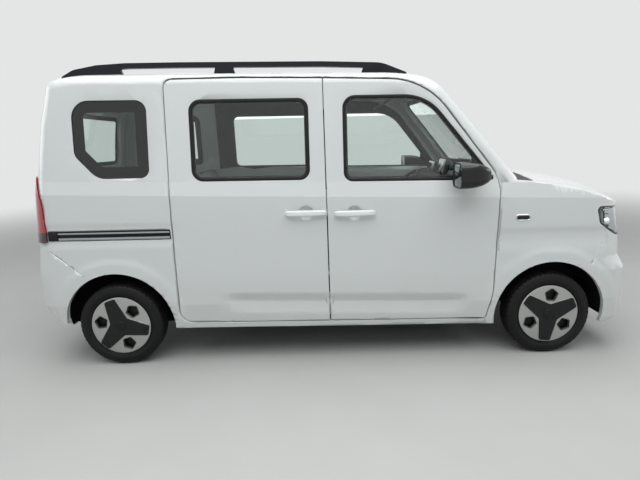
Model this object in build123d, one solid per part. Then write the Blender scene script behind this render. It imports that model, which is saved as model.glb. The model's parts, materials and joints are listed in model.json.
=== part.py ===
from build123d import *
import os
from functools import cache
from math import cos, radians, sin

# Electric microvan, one box body with sliding side doors.
# Millimetres. +X is forwards, +Y is the vehicle's left, +Z is up.
# The origin is on the ground, under the middle of the wheelbase.

# Driving dimensions of the whole vehicle
wheelbase = 3050
body_half_width = 840
nose_x = 2127.5
tail_x = -2127.5
tyre_radius = 297
tyre_width = 165
tyre_wall = 85
track_half_front = 742
track_half_rear = 742
arch_radius = 388
wheelhouse_clearance = 12

front_axle_x = wheelbase / 2
rear_axle_x = -wheelbase / 2

# Walls, gaps and laps of the body shell
upper_wall = 45
lower_wall = 70
skin = 20
panel_gap = 7
seat_gap = 0.3
door_lap = 26
door_seal_gap = 5
lap_gap = 8
glass_thickness = 4.5
glass_sink = 2
glass_lap = 18
glass_edge_gap = 2
roof_fillet = 90

# Slopes of the body's horizontal lines in the side view, millimetres of rise for each millimetre forwards
sill_slope = -0.013
mid_slope = -0.020
shoulder_slope = -0.0325
belt_slope = -0.0295

belt_height = 1276
shoulder_height = 1179
sill_height = 252
floor_top = 356
floor_thickness = 18

# Sections of the lower body: height, slope, nose x, tail x, half width, nose radius, tail radius
lower_sections = [
    (sill_height - 6, sill_slope, 2085, -2060, 800, 150, 150),
    (284, sill_slope, nose_x, -2085, 808, 150, 150),
    (430, sill_slope, 2114, tail_x, 832, 150, 150),
    (640, sill_slope, 2106, -2124, body_half_width, 160, 150),
    (725, sill_slope, 2074, -2114, body_half_width, 200, 150),
    (863, mid_slope, 2072, -2087, body_half_width, 230, 140),
    (shoulder_height, shoulder_slope, 2058, -2054, body_half_width - 1, 250, 130),
    (belt_height, belt_slope, 2020, -2043, body_half_width - 20, 250, 120),
    (1345, belt_slope, 1960, -2025, body_half_width - 45, 250, 110),
]
bows = (60, 30, 14)

# Sections of the upper body, the same columns: it starts from the lower body's section at the belt, and its nose
# lies ahead of the windscreen, which is cut afterwards
upper_sections = [
    (belt_height, belt_slope, 2020, -2043, body_half_width - 20, 250, 120),
    (1650, belt_slope, 1760, -1990, body_half_width - 59, 250, 120),
    (2060, belt_slope, 1460, -1893, body_half_width - 102, 250, 120),
]

crown_half_width = 1000
crown_drop = 60
cover_reach = 1000


def rounded(points, radii):
    """A closed outline through the points, each corner rounded by its own radius."""
    with BuildSketch() as outline:
        with BuildLine():
            FilletPolyline(*points, radius=radii, close=True)
        make_face()
    return outline.sketch


def from_side(outline, near, far):
    """An outline drawn in the side view, x and z, carried across the body from y = near to y = far."""
    return extrude(Plane.XZ.offset(-near) * outline, amount=near - far)


def from_front(outline, back, front):
    """An outline drawn in the front view, y and z, carried from x = back to x = front."""
    return extrude(Plane.YZ.offset(back) * outline, amount=front - back)


def from_above(outline, low, high):
    """An outline drawn in the plan view, x and y, carried from z = low to z = high."""
    return extrude(Plane.XY.offset(low) * outline, amount=high - low)


def box(x_span, y_span, z_span):
    """A block between two limits along each axis."""
    size = [b - a for a, b in (x_span, y_span, z_span)]
    centre = [(a + b) / 2 for a, b in (x_span, y_span, z_span)]
    return Pos(*centre) * Box(*size)


def cross_bar(x, z, radius, y_span):
    """A round bar along Y."""
    length = y_span[1] - y_span[0]
    return Pos(x, (y_span[0] + y_span[1]) / 2, z) * Rot(90, 0, 0) * Cylinder(radius, length)


def mirrored(shape):
    """The same piece on the vehicle's other side."""
    return mirror(shape, about=Plane.XZ)


def plan_section(height, slope, nose, tail, half, nose_radius, tail_radius, inset):
    """One plan outline of the body: bowed sides and ends, joined by tangent corner arcs."""
    nose_bow, tail_bow, side_bow = bows
    front, back, side = nose - inset, tail + inset, half - inset
    plane = Plane(origin=(0, 0, height), x_dir=(1, 0, slope), z_dir=(-slope, 0, 1))
    front_corner = (front - nose_bow, side - side_bow)
    back_corner = (back + tail_bow, side - side_bow)
    with BuildSketch(plane) as outline:
        with BuildLine():
            ThreePointArc((back_corner[0], -back_corner[1]), (0, -side), (front_corner[0], -front_corner[1]))
            ThreePointArc((front_corner[0], -front_corner[1]), (front, 0), front_corner)
            ThreePointArc(front_corner, (0, side), back_corner)
            ThreePointArc(back_corner, (back, 0), (back_corner[0], -back_corner[1]))
        make_face()
        fillet(outline.vertices().sort_by(Axis.X)[-2:], nose_radius - inset)
        fillet(outline.vertices().sort_by(Axis.X)[:2], tail_radius - inset)
    return outline.sketch


def shell_loft(sections, inset):
    """The sections joined by ruled strips, all drawn in by the inset."""
    return loft([plan_section(*row, inset) for row in sections], ruled=True)


def crowned_cover(path, inset):
    """All that lies outside a crowned surface: an arc across the body, carried along a side-view path."""
    wire = path.wire()
    start = Plane(origin=wire @ 0, x_dir=(0, 1, 0), z_dir=wire % 0)
    edge = (crown_half_width, -crown_drop - inset)
    with BuildSketch(start) as section:
        with BuildLine():
            ThreePointArc((-edge[0], edge[1]), (0, -inset), edge)
            Polyline(edge, (edge[0], cover_reach), (-edge[0], cover_reach), (-edge[0], edge[1]))
        make_face()
    return sweep(section.sketch, path=wire)


def roof_path():
    """Roof and windscreen seen from the side, along the middle: tail rise, long crown, header and glass."""
    with BuildLine(Plane.XZ) as path:
        rise = ThreePointArc((-2100, 1925), (-1850, 2021), (-1600, 2049))
        crown = TangentArc(rise @ 1, (352, 2013), tangent=rise % 1)
        brow = TangentArc(crown @ 1, (600, 1987), tangent=crown % 1)
        header = TangentArc(brow @ 1, (796, 1874), tangent=brow % 1)
        Line(header @ 1, header @ 1 + (header % 1) * 1100)
    return path


# Cross-sections of the bonnet's surface: x, height in the middle, fall towards the crown's edge
bonnet_sections = [
    (1080, 1320, 100),
    (1390, 1291, 88),
    (1600, 1262, 96),
    (1800, 1226, 124),
    (1960, 1180, 164),
    (2060, 1120, 190),
    (2130, 1010, 200),
]


def bonnet_cover(inset):
    """All that lies above the bonnet's surface, drawn down by the inset."""
    sections = []
    for x, height, fall in bonnet_sections:
        edge = (crown_half_width, height - fall - inset)
        with BuildSketch(Plane.YZ.offset(x)) as section:
            with BuildLine():
                ThreePointArc((-edge[0], edge[1]), (0, height - inset), edge)
                Polyline(edge, (edge[0], 1700), (-edge[0], 1700), (-edge[0], edge[1]))
            make_face()
        sections.append(section.sketch)
    return loft(sections)


def rim_edges(solid):
    """The edges where a crowned cover's surface meets the lofted sides and ends."""
    covers = [f for f in solid.faces() if f.geom_type not in (GeomType.BSPLINE, GeomType.PLANE)]
    sides = [f for f in solid.faces() if f.geom_type == GeomType.BSPLINE]
    side_edges = [e for f in sides for e in f.edges()]
    return [e for f in covers for e in f.edges() if any(e.is_same(s) for s in side_edges)]


@cache
def upper_form(inset):
    """Roof, pillars and windscreen as one closed form, drawn in by the inset."""
    form = shell_loft(upper_sections, inset) - crowned_cover(roof_path(), inset)
    return fillet(rim_edges(form), roof_fillet - min(inset, 60))


@cache
def lower_form(inset):
    """Everything under the belt as one closed form, drawn in by the inset."""
    form = shell_loft(lower_sections, inset)
    return form - bonnet_cover(inset)


@cache
def body_form(depth):
    """The whole body's form at one depth under its surface."""
    return upper_form(depth) + lower_form(depth)


@cache
def body_room():
    """The space inside the body's walls, which are thinner above the belt than below it."""
    return upper_form(upper_wall) + lower_form(lower_wall)


@cache
def side_form(depth):
    """The right half of the body's form."""
    return body_form(depth) & right_half


@cache
def side_room():
    """The right half of the space inside the walls."""
    return body_room() & right_half


# Side-view outlines of the openings, as corner points and corner radii
front_door_points = [(-43, 1953), (631, 1926), (1137, 1265), (1117, 470), (1077, 277), (-28, 291)]
front_door_radii = [6, 500, 290, 480, 14, 6]
sliding_door_points = [(-1090, 1971), (-582, 1969), (-43, 1953), (-28, 291), (-1092, 306)]
sliding_door_radii = [58, 0, 6, 6, 92]
front_window_points = [(83, 1838), (642, 1832), (1104, 1260), (83, 1277)]
front_window_radii = [82, 320, 14, 62]
sliding_window_points = [(-933, 1838), (-141, 1829), (-141, 1294), (-933, 1304)]
sliding_window_radii = [78, 70, 70, 78]
quarter_window_points = [(-1711, 1852), (-1209, 1844), (-1216, 1336), (-1565, 1338), (-1711, 1495)]
quarter_window_radii = [115, 75, 62, 130, 90]

# Rear-view and front-view outlines, y and z
tailgate_points = [(-655, 1908), (655, 1908), (690, 1330), (690, 668), (-690, 668), (-690, 1330)]
tailgate_radii = [60, 60, 300, 70, 70, 300]
rear_window_points = [(-540, 1828), (540, 1828), (580, 1372), (-580, 1372)]
rear_window_radii = [80, 80, 70, 70]
windscreen_points = [(-622, 1896), (622, 1896), (724, 1308), (-724, 1308)]
windscreen_radii = [90, 90, 60, 60]

roof_seam_y = 636
hinge_pillar_front = 1215

headlamp_points = [(1798, 1062), (2200, 1046), (2200, 872), (1975, 846), (1828, 944)]
headlamp_radii = [26, 0, 0, 60, 40]
headlamp_inner_y = -520
bonnet_lip_z = 1045
tail_lamp_points = [(-2220, 1372), (-2010, 1372), (-1958, 1180), (-1954, 915), (-2220, 915)]
tail_lamp_radii = [0, 60, 300, 12, 0]
tail_lamp_inner_y = -692
tail_lamp_proud = 12

front_bumper_points = [(1525, 655), (1788, 655), (1905, 902), (1990, 902), (1990, 1200), (2300, 1200),
                       (2300, 150), (1525, 150)]
front_bumper_radii = [0, 0, 40, 0, 0, 0, 0, 0]
rear_bumper_points = [(-2260, 884), (-1960, 862), (-1735, 670), (-1525, 600), (-1525, 312), (-1905, 312),
                      (-2090, 398), (-2260, 450)]
rear_bumper_radii = [0, 0, 0, 0, 0, 60, 60, 0]
rail_groove_y = -821
rail_points = [(-1946, 990), (-1106, 985), (-1106, 921), (-1946, 926)]

plate_face_x = -2048
plate_hole_z = 930
plate_hole_pitch = 210
plate_hole_radius = 3.5

rail_y = 655
rail_width = 40

bulkhead_x = 1214
sheet = 6
rear_house_y = 590
front_house_y = 440
rail_inner_y = 485
rail_outer_y = 555
rail_depth = 62
deck_top = 560
deck_front = -1100
rail_kick_low = 425
rail_end_low = 298
axle_travel = 110
front_rail_y = 350
nose_bar_x = 2010
battery_bottom = 190
spring_y = 520
spring_width = 56
spring_half = 486
spring_camber = 18
spring_stack = 26
spring_eye_radius = 20
spring_seat = tyre_radius - 62 - seat_gap
spring_eye_z = spring_seat + 8
drum_radius = 118
kingpin_y = 700
ball_low = 205
ball_high = 392
strut_y = 606
stub_radius = 22
rim_width = 142

web_depth = -44
star_reach = 198
star_tip = 37
star_waist = 74
window_reach = 140
star_turn = {"front": 25, "rear": 108.6}

steering_centre = (690, 370, 1150)
steering_tilt = 38
wheel_rim_radius = 180
seat_base = 356.3
seat_y = 370

mirror_centre_y = -962
mirror_centre_z = 1306
mirror_half_width = 96
mirror_half_height = 80
mirror_arm_x = 966
sail_back_x = 940

doors_y = (-1000, -660)
front_door_inner_y = -668
door_hinge_z = (560, 980)
tailgate_hinge_y = 440
bonnet_hinge_y = 585
right_half = box((-2400, 2400), (-1100, 0), (100, 2200))


def grown(points, radii, by):
    """An outline grown, or with a minus sign drawn in, by a width."""
    return offset(rounded(points, radii), amount=by)


def side_carry(outline):
    """Carries an outline through the right side of the body."""
    return from_side(outline, *doors_y)


def front_carry(outline):
    """Carries an outline through the windscreen."""
    return from_front(outline, 500, 1500)


def rear_carry(outline):
    """Carries an outline through the tail."""
    return from_front(outline, -2300, -1850)


front_door_outline = (front_door_points, front_door_radii)
sliding_door_outline = (sliding_door_points, sliding_door_radii)
front_window = rounded(front_window_points, front_window_radii)
front_glass = front_window & Pos(sail_back_x - 600, 1500) * Rectangle(1200 - 2 * glass_edge_gap, 1000)
sliding_window = rounded(sliding_window_points, sliding_window_radii)
quarter_window = rounded(quarter_window_points, quarter_window_radii)
tailgate_outline = rounded(tailgate_points, tailgate_radii)
rear_window = rounded(rear_window_points, rear_window_radii)
windscreen_outline = rounded(windscreen_points, windscreen_radii)
headlamp_outline = rounded(headlamp_points, headlamp_radii)
tail_lamp_outline = rounded(tail_lamp_points, tail_lamp_radii)
glass_depth = glass_sink + glass_thickness


def largest(shape):
    """The largest solid of a cut piece, without the slivers that the cuts leave."""
    return max(shape.solids(), key=lambda s: s.volume)


def hinged_blank(outer, inner, form, room):
    """A door, lid or tailgate before its window is cut: a skin flange, and a narrower box behind it."""
    flange = (outer & form(0)) - form(skin)
    inner_box = (inner & form(0)) - room()
    return flange + inner_box


def hinged_hole(outer, inner, form):
    """The cutters for the hole that such a piece leaves: wide in the skin, narrower behind it."""
    return [outer - form(skin + door_seal_gap), inner]


def glass_hole(outline, carry, form):
    """The cutters for the stepped hole of a pane: its own recess, and a smaller hole through."""
    return [carry(outline) - form(glass_depth), carry(offset(outline, amount=-glass_lap))]


def pane(outline, carry, form):
    """A pane that follows the body's form, just under its surface."""
    blank = carry(offset(outline, amount=-glass_edge_gap)) & form(glass_sink)
    return largest(blank - form(glass_depth))


def door_blank(outline, inner_y):
    """The right side's door from its outline, no further in than inner_y."""
    outer = from_side(grown(*outline, -panel_gap / 2), doors_y[0], inner_y)
    inner = from_side(grown(*outline, -door_lap), doors_y[0], inner_y)
    return hinged_blank(outer, inner, side_form, side_room)


def door_hole(outline):
    """The cutters for the right side's door hole."""
    outer = side_carry(grown(*outline, panel_gap / 2))
    inner = side_carry(grown(*outline, lap_gap - door_lap))
    return hinged_hole(outer, inner, side_form)


def door_leaves():
    """The fixed hinge leaves on the right hinge pillar: they fill the gap to the door's inner box."""
    pillar_face = side_carry(grown(*front_door_outline, lap_gap - door_lap + 2))
    door_face = side_carry(grown(*front_door_outline, seat_gap - door_lap))
    return [(pillar_face - door_face) & box((1040, 1150), (-808, -780), (z - 40, z + 40)) for z in door_hinge_z]


def handle(x_back, x_front, z):
    """A pull bar on two feet, standing on the door's skin."""
    bar = box((x_back, x_front), (-870, -856), (z - 13, z + 13))
    bar = fillet(bar.edges().filter_by(Axis.X), 6)
    feet = [box((x, x + 28), (-860, -825), (z - 10, z + 10)) for x in (x_back + 6, x_front - 34)]
    return bar + feet


def with_handle(door, x_back, x_front, z):
    """A door with its handle and the finger cup behind it."""
    cup = Pos((x_back + x_front) / 2, -880, z) * Sphere(66)
    return largest(door - cup + handle(x_back, x_front, z))


def front_door():
    """The right front door: pressed skin, inner box, window hole and handle."""
    blank = door_blank(front_door_outline, front_door_inner_y) - glass_hole(front_window, side_carry, side_form)
    blank -= box((900, 1200), (lower_wall - body_half_width, -600), (1100, 1320))
    return with_handle(blank, 12, 289, 1066)


def sliding_door():
    """The right sliding door, made the same way."""
    blank = door_blank(sliding_door_outline, doors_y[1]) - glass_hole(sliding_window, side_carry, side_form)
    return with_handle(blank, -317, -37, 1075)


def arch_cut(axle_x, radius):
    """The round hole of a wheel arch, through the body's side."""
    return cross_bar(axle_x, tyre_radius, radius, doors_y)


def fender_zone():
    """Where the front fender's skin lies: ahead of the door's seam."""
    seam = rounded([(1141, 1243), (1290, 1240), (1290, 1300), (2300, 1300), (2300, 150), (1081, 150), (1081, 277),
                    (1121, 470), (1140, 1100)], [0, 0, 0, 0, 0, 0, 14, 480, 290])
    return from_side(seam, -1000, -560)


def tail_cut():
    """The cutter that leaves the tailgate's hole in the tail's skin."""
    return rear_carry(offset(tailgate_outline, amount=panel_gap / 2))


def side_zone():
    """The part of the shell that the side frame is cut from."""
    zone = box((-2300, hinge_pillar_front), (-1000, -roof_seam_y), (150, 2200))
    return zone + box((hinge_pillar_front, 1500), (-1000, -roof_seam_y), (1240, 2200))


def bumper_cut(points, radii):
    """A bumper's side-view outline, carried over the right half of the body."""
    return from_side(rounded(points, radii), -1000, 0)


def lamp_cut(outline, inner_y, by):
    """A lamp's side-view outline, carried in from the side."""
    return from_side(offset(outline, amount=by), -1000, inner_y)


def rail_cut(by):
    """The channel of the sliding door's rear rail."""
    return side_carry(offset(rounded(rail_points, [4] * 4), amount=by))


def body_side():
    """The right side frame: pillars, roof side, quarter panel and sill in one."""
    frame = (side_form(0) & side_zone()) - side_room()
    cutters = door_hole(front_door_outline) + door_hole(sliding_door_outline)
    cutters += glass_hole(quarter_window, side_carry, side_form)
    cutters += glass_hole(windscreen_outline, front_carry, side_form)
    cutters += [tail_cut(), fender_zone() - side_form(skin), bumper_cut(rear_bumper_points, rear_bumper_radii)]
    house_radius = arch_radius + wheelhouse_clearance + sheet + seat_gap
    cutters += [arch_cut(rear_axle_x, arch_radius), arch_cut(front_axle_x, house_radius)]
    cutters += [rail_cut(0) - side_form(skin), lamp_cut(tail_lamp_outline, tail_lamp_inner_y, 1) - side_form(25)]
    return largest(frame - cutters - cowl_zone() + door_leaves())


def cowl_panel():
    """The black panel between the bonnet and the glass, with its two pointed ends beside the pillars."""
    panel = (cowl_zone() & body_form(glass_sink)) - body_form(skin)
    return largest(panel - glass_hole(windscreen_outline, front_carry, body_form))


def cowl_zone():
    """The strip between the bonnet and the windscreen: wide across the nose, narrower beside the pillars."""
    plan = rounded([(1225, roof_seam_y - 1), (1262, roof_seam_y - 1), (1262, 790), (1385, 764), (1385, -764),
                    (1262, -790), (1262, 1 - roof_seam_y), (1225, 1 - roof_seam_y)], [0, 0, 0, 20, 20, 0, 0, 0])
    return from_above(plan, 1228, 1500)


def bonnet_plan(by):
    """The bonnet's outline from above, grown by a width."""
    return grown([(1392, 738), (1640, 730), (1950, 694), (2062, 560), (2086, 0), (2062, -560), (1950, -694),
                  (1640, -730), (1392, -738)], [20, 500, 150, 200, 900, 200, 150, 500, 20], by)


def fender():
    """The right front fender: a skin with the arch cut out of it."""
    wall = (fender_zone() & side_form(0)) - side_form(skin)
    cutters = [from_above(bonnet_plan(panel_gap / 2), 900, 1500), cowl_zone()]
    cutters += [bumper_cut(front_bumper_points, front_bumper_radii), arch_cut(front_axle_x, arch_radius)]
    cutters += [lamp_cut(headlamp_outline, headlamp_inner_y, 2), box((2030, 2300), (-1000, 0), (150, 1300))]
    return largest(wall - cutters)


def bonnet():
    """The bonnet: one pressed skin between the windscreen and the nose, cut out round the headlamps."""
    outer = from_above(bonnet_plan(-panel_gap / 2), bonnet_lip_z + panel_gap, 1500)
    skin_layer = (outer & lower_form(0)) - lower_form(skin)
    lamp = lamp_cut(headlamp_outline, headlamp_inner_y, panel_gap)
    return largest(skin_layer - [lamp, mirrored(lamp)])


def front_bumper():
    """The front bumper and nose panel in one skin, from wheel arch to wheel arch."""
    half = bumper_cut(front_bumper_points, front_bumper_radii)
    whole = half + mirrored(half)
    nose = (whole & body_form(0)) - body_form(skin + door_seal_gap)
    cutters = [from_above(bonnet_plan(panel_gap / 2), bonnet_lip_z, 1500)]
    for cutter in (lamp_cut(headlamp_outline, headlamp_inner_y, 2), arch_cut(front_axle_x, arch_radius)):
        cutters += [cutter, mirrored(cutter)]
    intake = rounded([(-430, 330), (430, 330), (470, 262), (-470, 262)], [20] * 4)
    cutters.append(from_front(intake, 1950, 2300))
    return largest(nose - cutters)


def rear_bumper():
    """The rear bumper, from wheel arch to wheel arch, below the tailgate."""
    half = bumper_cut(rear_bumper_points, rear_bumper_radii)
    whole = half + mirrored(half)
    tail = (whole & body_form(0)) - body_form(skin + door_seal_gap)
    arch = arch_cut(rear_axle_x, arch_radius)
    return largest(tail - [tail_cut(), arch, mirrored(arch)])


def roof_panel():
    """The roof between its two seams, from the windscreen to the tailgate."""
    zone = box((-2300, 1100), (-roof_seam_y, roof_seam_y), (1600, 2200))
    roof = (zone & upper_form(0)) - upper_form(upper_wall)
    cutters = glass_hole(windscreen_outline, front_carry, upper_form) + [tail_cut()]
    gate_top = max(z for y, z in tailgate_points) - door_lap
    leaves = [box((-1893, -1876), (y - 30, y + 30), (gate_top + seat_gap, gate_top + 40))
              for y in (-tailgate_hinge_y, tailgate_hinge_y)]
    return largest(roof - cutters + leaves)


def tailgate():
    """The tailgate: skin, inner box, window hole and a flat recess for the number plate."""
    outer = rear_carry(offset(tailgate_outline, amount=-panel_gap / 2))
    inner = rear_carry(offset(tailgate_outline, amount=-door_lap))
    gate = hinged_blank(outer, inner, body_form, body_room)
    recess = from_front(rounded([(-250, 1010), (250, 1010), (250, 850), (-250, 850)], [14] * 4),
                        -2300, plate_face_x)
    holes = [Pos(plate_face_x, y, plate_hole_z) * Rot(0, 90, 0) * Cylinder(plate_hole_radius, 30)
             for y in (-plate_hole_pitch / 2, plate_hole_pitch / 2)]
    return largest(gate - glass_hole(rear_window, rear_carry, body_form) - [recess] - holes)


def headlamp_lens():
    """The right headlamp's clear cover, wrapped round the corner."""
    blank = lamp_cut(headlamp_outline, headlamp_inner_y, 0) & side_form(0)
    return largest(blank - side_form(glass_depth))


def headlamp_bowl():
    """The dark bowl behind the cover: a back plate inside a thin rim."""
    blank = lamp_cut(headlamp_outline, headlamp_inner_y, 0) & side_form(glass_depth)
    bowl = blank - lower_form(lower_wall + 20)
    hollow = lamp_cut(headlamp_outline, headlamp_inner_y, -9) - lower_form(lower_wall)
    inner_wall = box((1700, 2300), (headlamp_inner_y - 9, headlamp_inner_y + 1), (700, 1200))
    return largest(bowl - (hollow - inner_wall))


def tail_lamp():
    """The right tail lamp, standing proud of the corner."""
    blank = lamp_cut(tail_lamp_outline, tail_lamp_inner_y, 0) & side_form(-tail_lamp_proud)
    lamp = largest(blank - side_form(skin + door_seal_gap))
    return lamp


def slide_rail():
    """The sliding door's rear rail: a channel open outwards, in its recess in the quarter panel."""
    rail = (rail_cut(-0.5) & side_form(glass_sink)) - side_form(skin)
    groove = rounded([(-1925, 968), (-1100, 963), (-1100, 945), (-1925, 950)], [3] * 4)
    return largest(rail - from_side(groove, doors_y[0], rail_groove_y))


def roof_rail():
    """The right roof rail: a flat bar on a long rear foot, a middle foot and a front foot."""
    top = [(-1812, 2000), (-1705, 2056), (-1545, 2082), (-1356, 2090), (-993, 2086), (-49, 2067), (356, 2049),
           (565, 1966)]
    bar = rounded(top + [(470, 1960), (350, 2015), (-49, 2033), (-993, 2052), (-1356, 2056), (-1500, 2040),
                         (-1640, 1990)], [10, 120, 160, 800, 3000, 3000, 240, 12, 60, 90, 2000, 3000, 500, 200, 60])
    feet = [rounded([(-1800, 1960), (-1700, 2050), (-1400, 2070), (-1362, 1980)], [5, 5, 5, 5]),
            rounded([(-772, 1980), (-752, 2060), (-640, 2058), (-618, 1980)], [5, 5, 5, 5]),
            rounded([(212, 1960), (240, 2045), (380, 2036), (560, 1950)], [5, 5, 5, 5])]
    rail = from_side(bar, -rail_y - rail_width / 2, -rail_y + rail_width / 2)
    rail += [from_side(f, -rail_y - rail_width / 2, -rail_y + rail_width / 2) for f in feet]
    return largest(rail - upper_form(-seat_gap))


def sail():
    """The black panel in the window's front corner, which carries the mirror."""
    corner = offset(front_window, amount=-glass_edge_gap) & Pos(sail_back_x + 300, 1400) * Rectangle(600, 800)
    return (side_carry(corner) & side_form(0)) - side_form(glass_depth)


# Sections of the mirror's shell from its glass forwards: x, share of its full width and height
mirror_sections = [
    (798, 1.0),
    (880, 0.98),
    (950, 0.80),
    (1002, 0.45),
]


def mirror_outline(share, by=0.0):
    """The mirror seen from behind, at a share of its full size, grown by a width."""
    half_y = share * mirror_half_width + by
    half_z = share * mirror_half_height + by
    return Pos(mirror_centre_y, mirror_centre_z) * RectangleRounded(2 * half_y, 2 * half_z, 0.55 * half_z)


def door_mirror():
    """The right door mirror: a rounded shell with its glass sunk in, on a short arm from the sail."""
    shell = loft([Plane.YZ.offset(x) * mirror_outline(share) for x, share in mirror_sections])
    glass_x = mirror_sections[0][0]
    shell -= from_front(mirror_outline(1.0, by=-9), glass_x - 10, glass_x + 6)
    arm = cross_bar(mirror_arm_x, mirror_centre_z - 8, 23, (mirror_centre_y + 27, -805))
    return largest((shell + arm) - side_form(glass_sink) + sail())


def tyre_profile():
    """Half of a tyre's section: bead, rounded sidewall and flat tread, radius against width."""
    half = tyre_width / 2
    inner = tyre_radius - tyre_wall
    with BuildSketch(Plane.XZ) as section:
        with BuildLine():
            Polyline((inner + 4, -half + 14), (inner, -half + 20), (inner, half - 20), (inner + 4, half - 14))
            ThreePointArc((inner + 4, half - 14), (inner + 44, half), (tyre_radius - 18, half - 8))
            ThreePointArc((tyre_radius - 18, half - 8), (tyre_radius - 6, half - 16), (tyre_radius, half - 30))
            Line((tyre_radius, half - 30), (tyre_radius, -half + 30))
            ThreePointArc((tyre_radius, -half + 30), (tyre_radius - 6, -half + 16), (tyre_radius - 18, -half + 8))
            ThreePointArc((tyre_radius - 18, -half + 8), (inner + 44, -half), (inner + 4, -half + 14))
        make_face()
    return section.sketch


def spun(section):
    """A section drawn as radius against width, turned about the wheel's axle along Y, outside at -Y."""
    return Rot(-90, 0, 0) * revolve(section, axis=Axis.Z)


def wheelhouse(axle_x, inner_y, form):
    """The right wheelhouse: a half drum over the wheel, closed on its inner side."""
    radius = arch_radius + wheelhouse_clearance
    drum = cross_bar(axle_x, tyre_radius, radius + sheet, (-1000, inner_y + sheet))
    drum -= cross_bar(axle_x, tyre_radius, radius, (-1010, inner_y))
    return drum & box((axle_x - 500, axle_x + 500), (-1000, 0), (tyre_radius - 30, 900)) & form


def wheel_room(axle_x, inner_y, by):
    """The space that a wheelhouse takes out of the floor and the bulkhead, on both sides of the body."""
    room = cross_bar(axle_x, tyre_radius, arch_radius + wheelhouse_clearance + by, (-1000, inner_y + by))
    return [room, mirrored(room)]


# Cross members under the floor: x, height of their top
cross_members = [
    (-1980, deck_top - floor_thickness),
    (-1250, deck_top - floor_thickness),
    (-1010, floor_top - floor_thickness),
    (-500, floor_top - floor_thickness),
    (400, floor_top - floor_thickness),
    (1060, floor_top - floor_thickness),
]


def floor_rail():
    """The right chassis rail: a box that kicks up over the rear axle and carries the leaf spring's hangers."""
    low, high = floor_top - floor_thickness, deck_top - floor_thickness
    outline = rounded([(1110, low), (1110, low - rail_depth), (deck_front + 25, low - rail_depth),
                       (deck_front - 115, rail_kick_low), (-1835, rail_kick_low), (-1965, rail_end_low),
                       (-2040, rail_end_low), (-2040, high), (deck_front, high), (deck_front, low)],
                      [0, 0, 60, 60, 60, 60, 0, 0, 0, 0])
    rail = from_side(outline, -rail_outer_y, -rail_inner_y)
    cheeks = [box((x - 26, x + 26), (y - 3.5, y + 3.5), (spring_eye_z - 22, rail_end_low + 10))
              for x in (rear_axle_x - spring_half, rear_axle_x + spring_half)
              for y in (-spring_y - spring_width / 2 - seat_gap - 3.5, -spring_y + spring_width / 2 + seat_gap + 3.5)]
    return rail + cheeks


def floor_pan():
    """The floor with its raised load deck, two rails, cross members and rear wheelhouses."""
    slab = box((deck_front, bulkhead_x - sheet), (-900, 900), (floor_top - floor_thickness, floor_top))
    slab += box((-2100, deck_front), (-900, 900), (deck_top - floor_thickness, deck_top))
    slab += box((deck_front - sheet, deck_front), (-900, 900), (floor_top - floor_thickness, deck_top))
    slab &= body_room()
    slab -= wheel_room(rear_axle_x, -rear_house_y, sheet / 2)
    slab -= wheel_room(front_axle_x, -front_house_y, sheet + seat_gap)
    members = [box((x - 35, x + 35), (-rail_inner_y, rail_inner_y), (top - 50, top)) for x, top in cross_members]
    axle_slot = box((rear_axle_x - 70, rear_axle_x + 70), (-rear_house_y - 20, -rear_house_y + 20),
                    (200, tyre_radius + axle_travel))
    house = wheelhouse(rear_axle_x, -rear_house_y, body_room()) - axle_slot
    rail = floor_rail()
    return largest(slab + members + [house, mirrored(house), rail, mirrored(rail)])


def front_structure():
    """The bulkhead, front wheelhouses, front rails and the bars behind the nose, welded together."""
    wall = body_room() & box((bulkhead_x - sheet, bulkhead_x), (-900, 900), (floor_top - floor_thickness, 1226))
    wall -= wheel_room(front_axle_x, -front_house_y, sheet / 2)
    house = wheelhouse(front_axle_x, -front_house_y, lower_form(skin + door_seal_gap))
    rail = box((bulkhead_x - 2, nose_bar_x), (-front_rail_y - 60, -front_rail_y), (400, 490))
    stay = box((nose_bar_x - 60, nose_bar_x - 30), (-front_rail_y - 50, -front_rail_y - 10), (300, 1010))
    bars = [box((nose_bar_x - 40, nose_bar_x + 5), (-600, 600), (400, 500)),
            box((nose_bar_x - 60, nose_bar_x - 30), (-480, 480), (985, 1015)),
            box((nose_bar_x - 60, nose_bar_x - 30), (-480, 480), (300, 330))]
    hinge = box((bulkhead_x - 2, 1440), (-bonnet_hinge_y - 15, -bonnet_hinge_y + 15), (1185, 1400))
    hinge &= lower_form(skin + seat_gap)
    halves = [house, rail, stay, hinge]
    return largest(wall + halves + [mirrored(piece) for piece in halves] + bars)


def battery_pack():
    """The traction battery: one closed case slung under the floor between the rails."""
    top = floor_top - floor_thickness - 50 - seat_gap
    case = box((-820, 930), (-rail_inner_y + 12, rail_inner_y - 12), (battery_bottom, top))
    return fillet(case.edges().filter_by(Axis.Z), 30)


def rear_axle():
    """The driven rear axle: a beam with the motor and gear case in its middle and a drum at each end."""
    beam = cross_bar(rear_axle_x, tyre_radius, 38, (-track_half_rear + 66, track_half_rear - 66))
    case = box((rear_axle_x - 120, rear_axle_x + 190), (-150, 170), (tyre_radius - 105, tyre_radius + 105))
    case = fillet(case.edges().filter_by(Axis.Y), 40)
    motor = cross_bar(rear_axle_x + 95, tyre_radius + 10, 110, (-340, -140))
    drums = [cross_bar(rear_axle_x, tyre_radius, drum_radius, (-a, -b) if side < 0 else (b, a))
             for side in (-1, 1) for a, b in [(track_half_rear - 22, track_half_rear - 76)]]
    pads = [box((rear_axle_x - 45, rear_axle_x + 45), (y - 32, y + 32), (spring_seat + seat_gap, tyre_radius - 20))
            for y in (-spring_y, spring_y)]
    stubs = cross_bar(rear_axle_x, tyre_radius, stub_radius, (-track_half_rear - 30, track_half_rear + 30))
    return largest(beam + [case, motor, stubs] + drums + pads)


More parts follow.
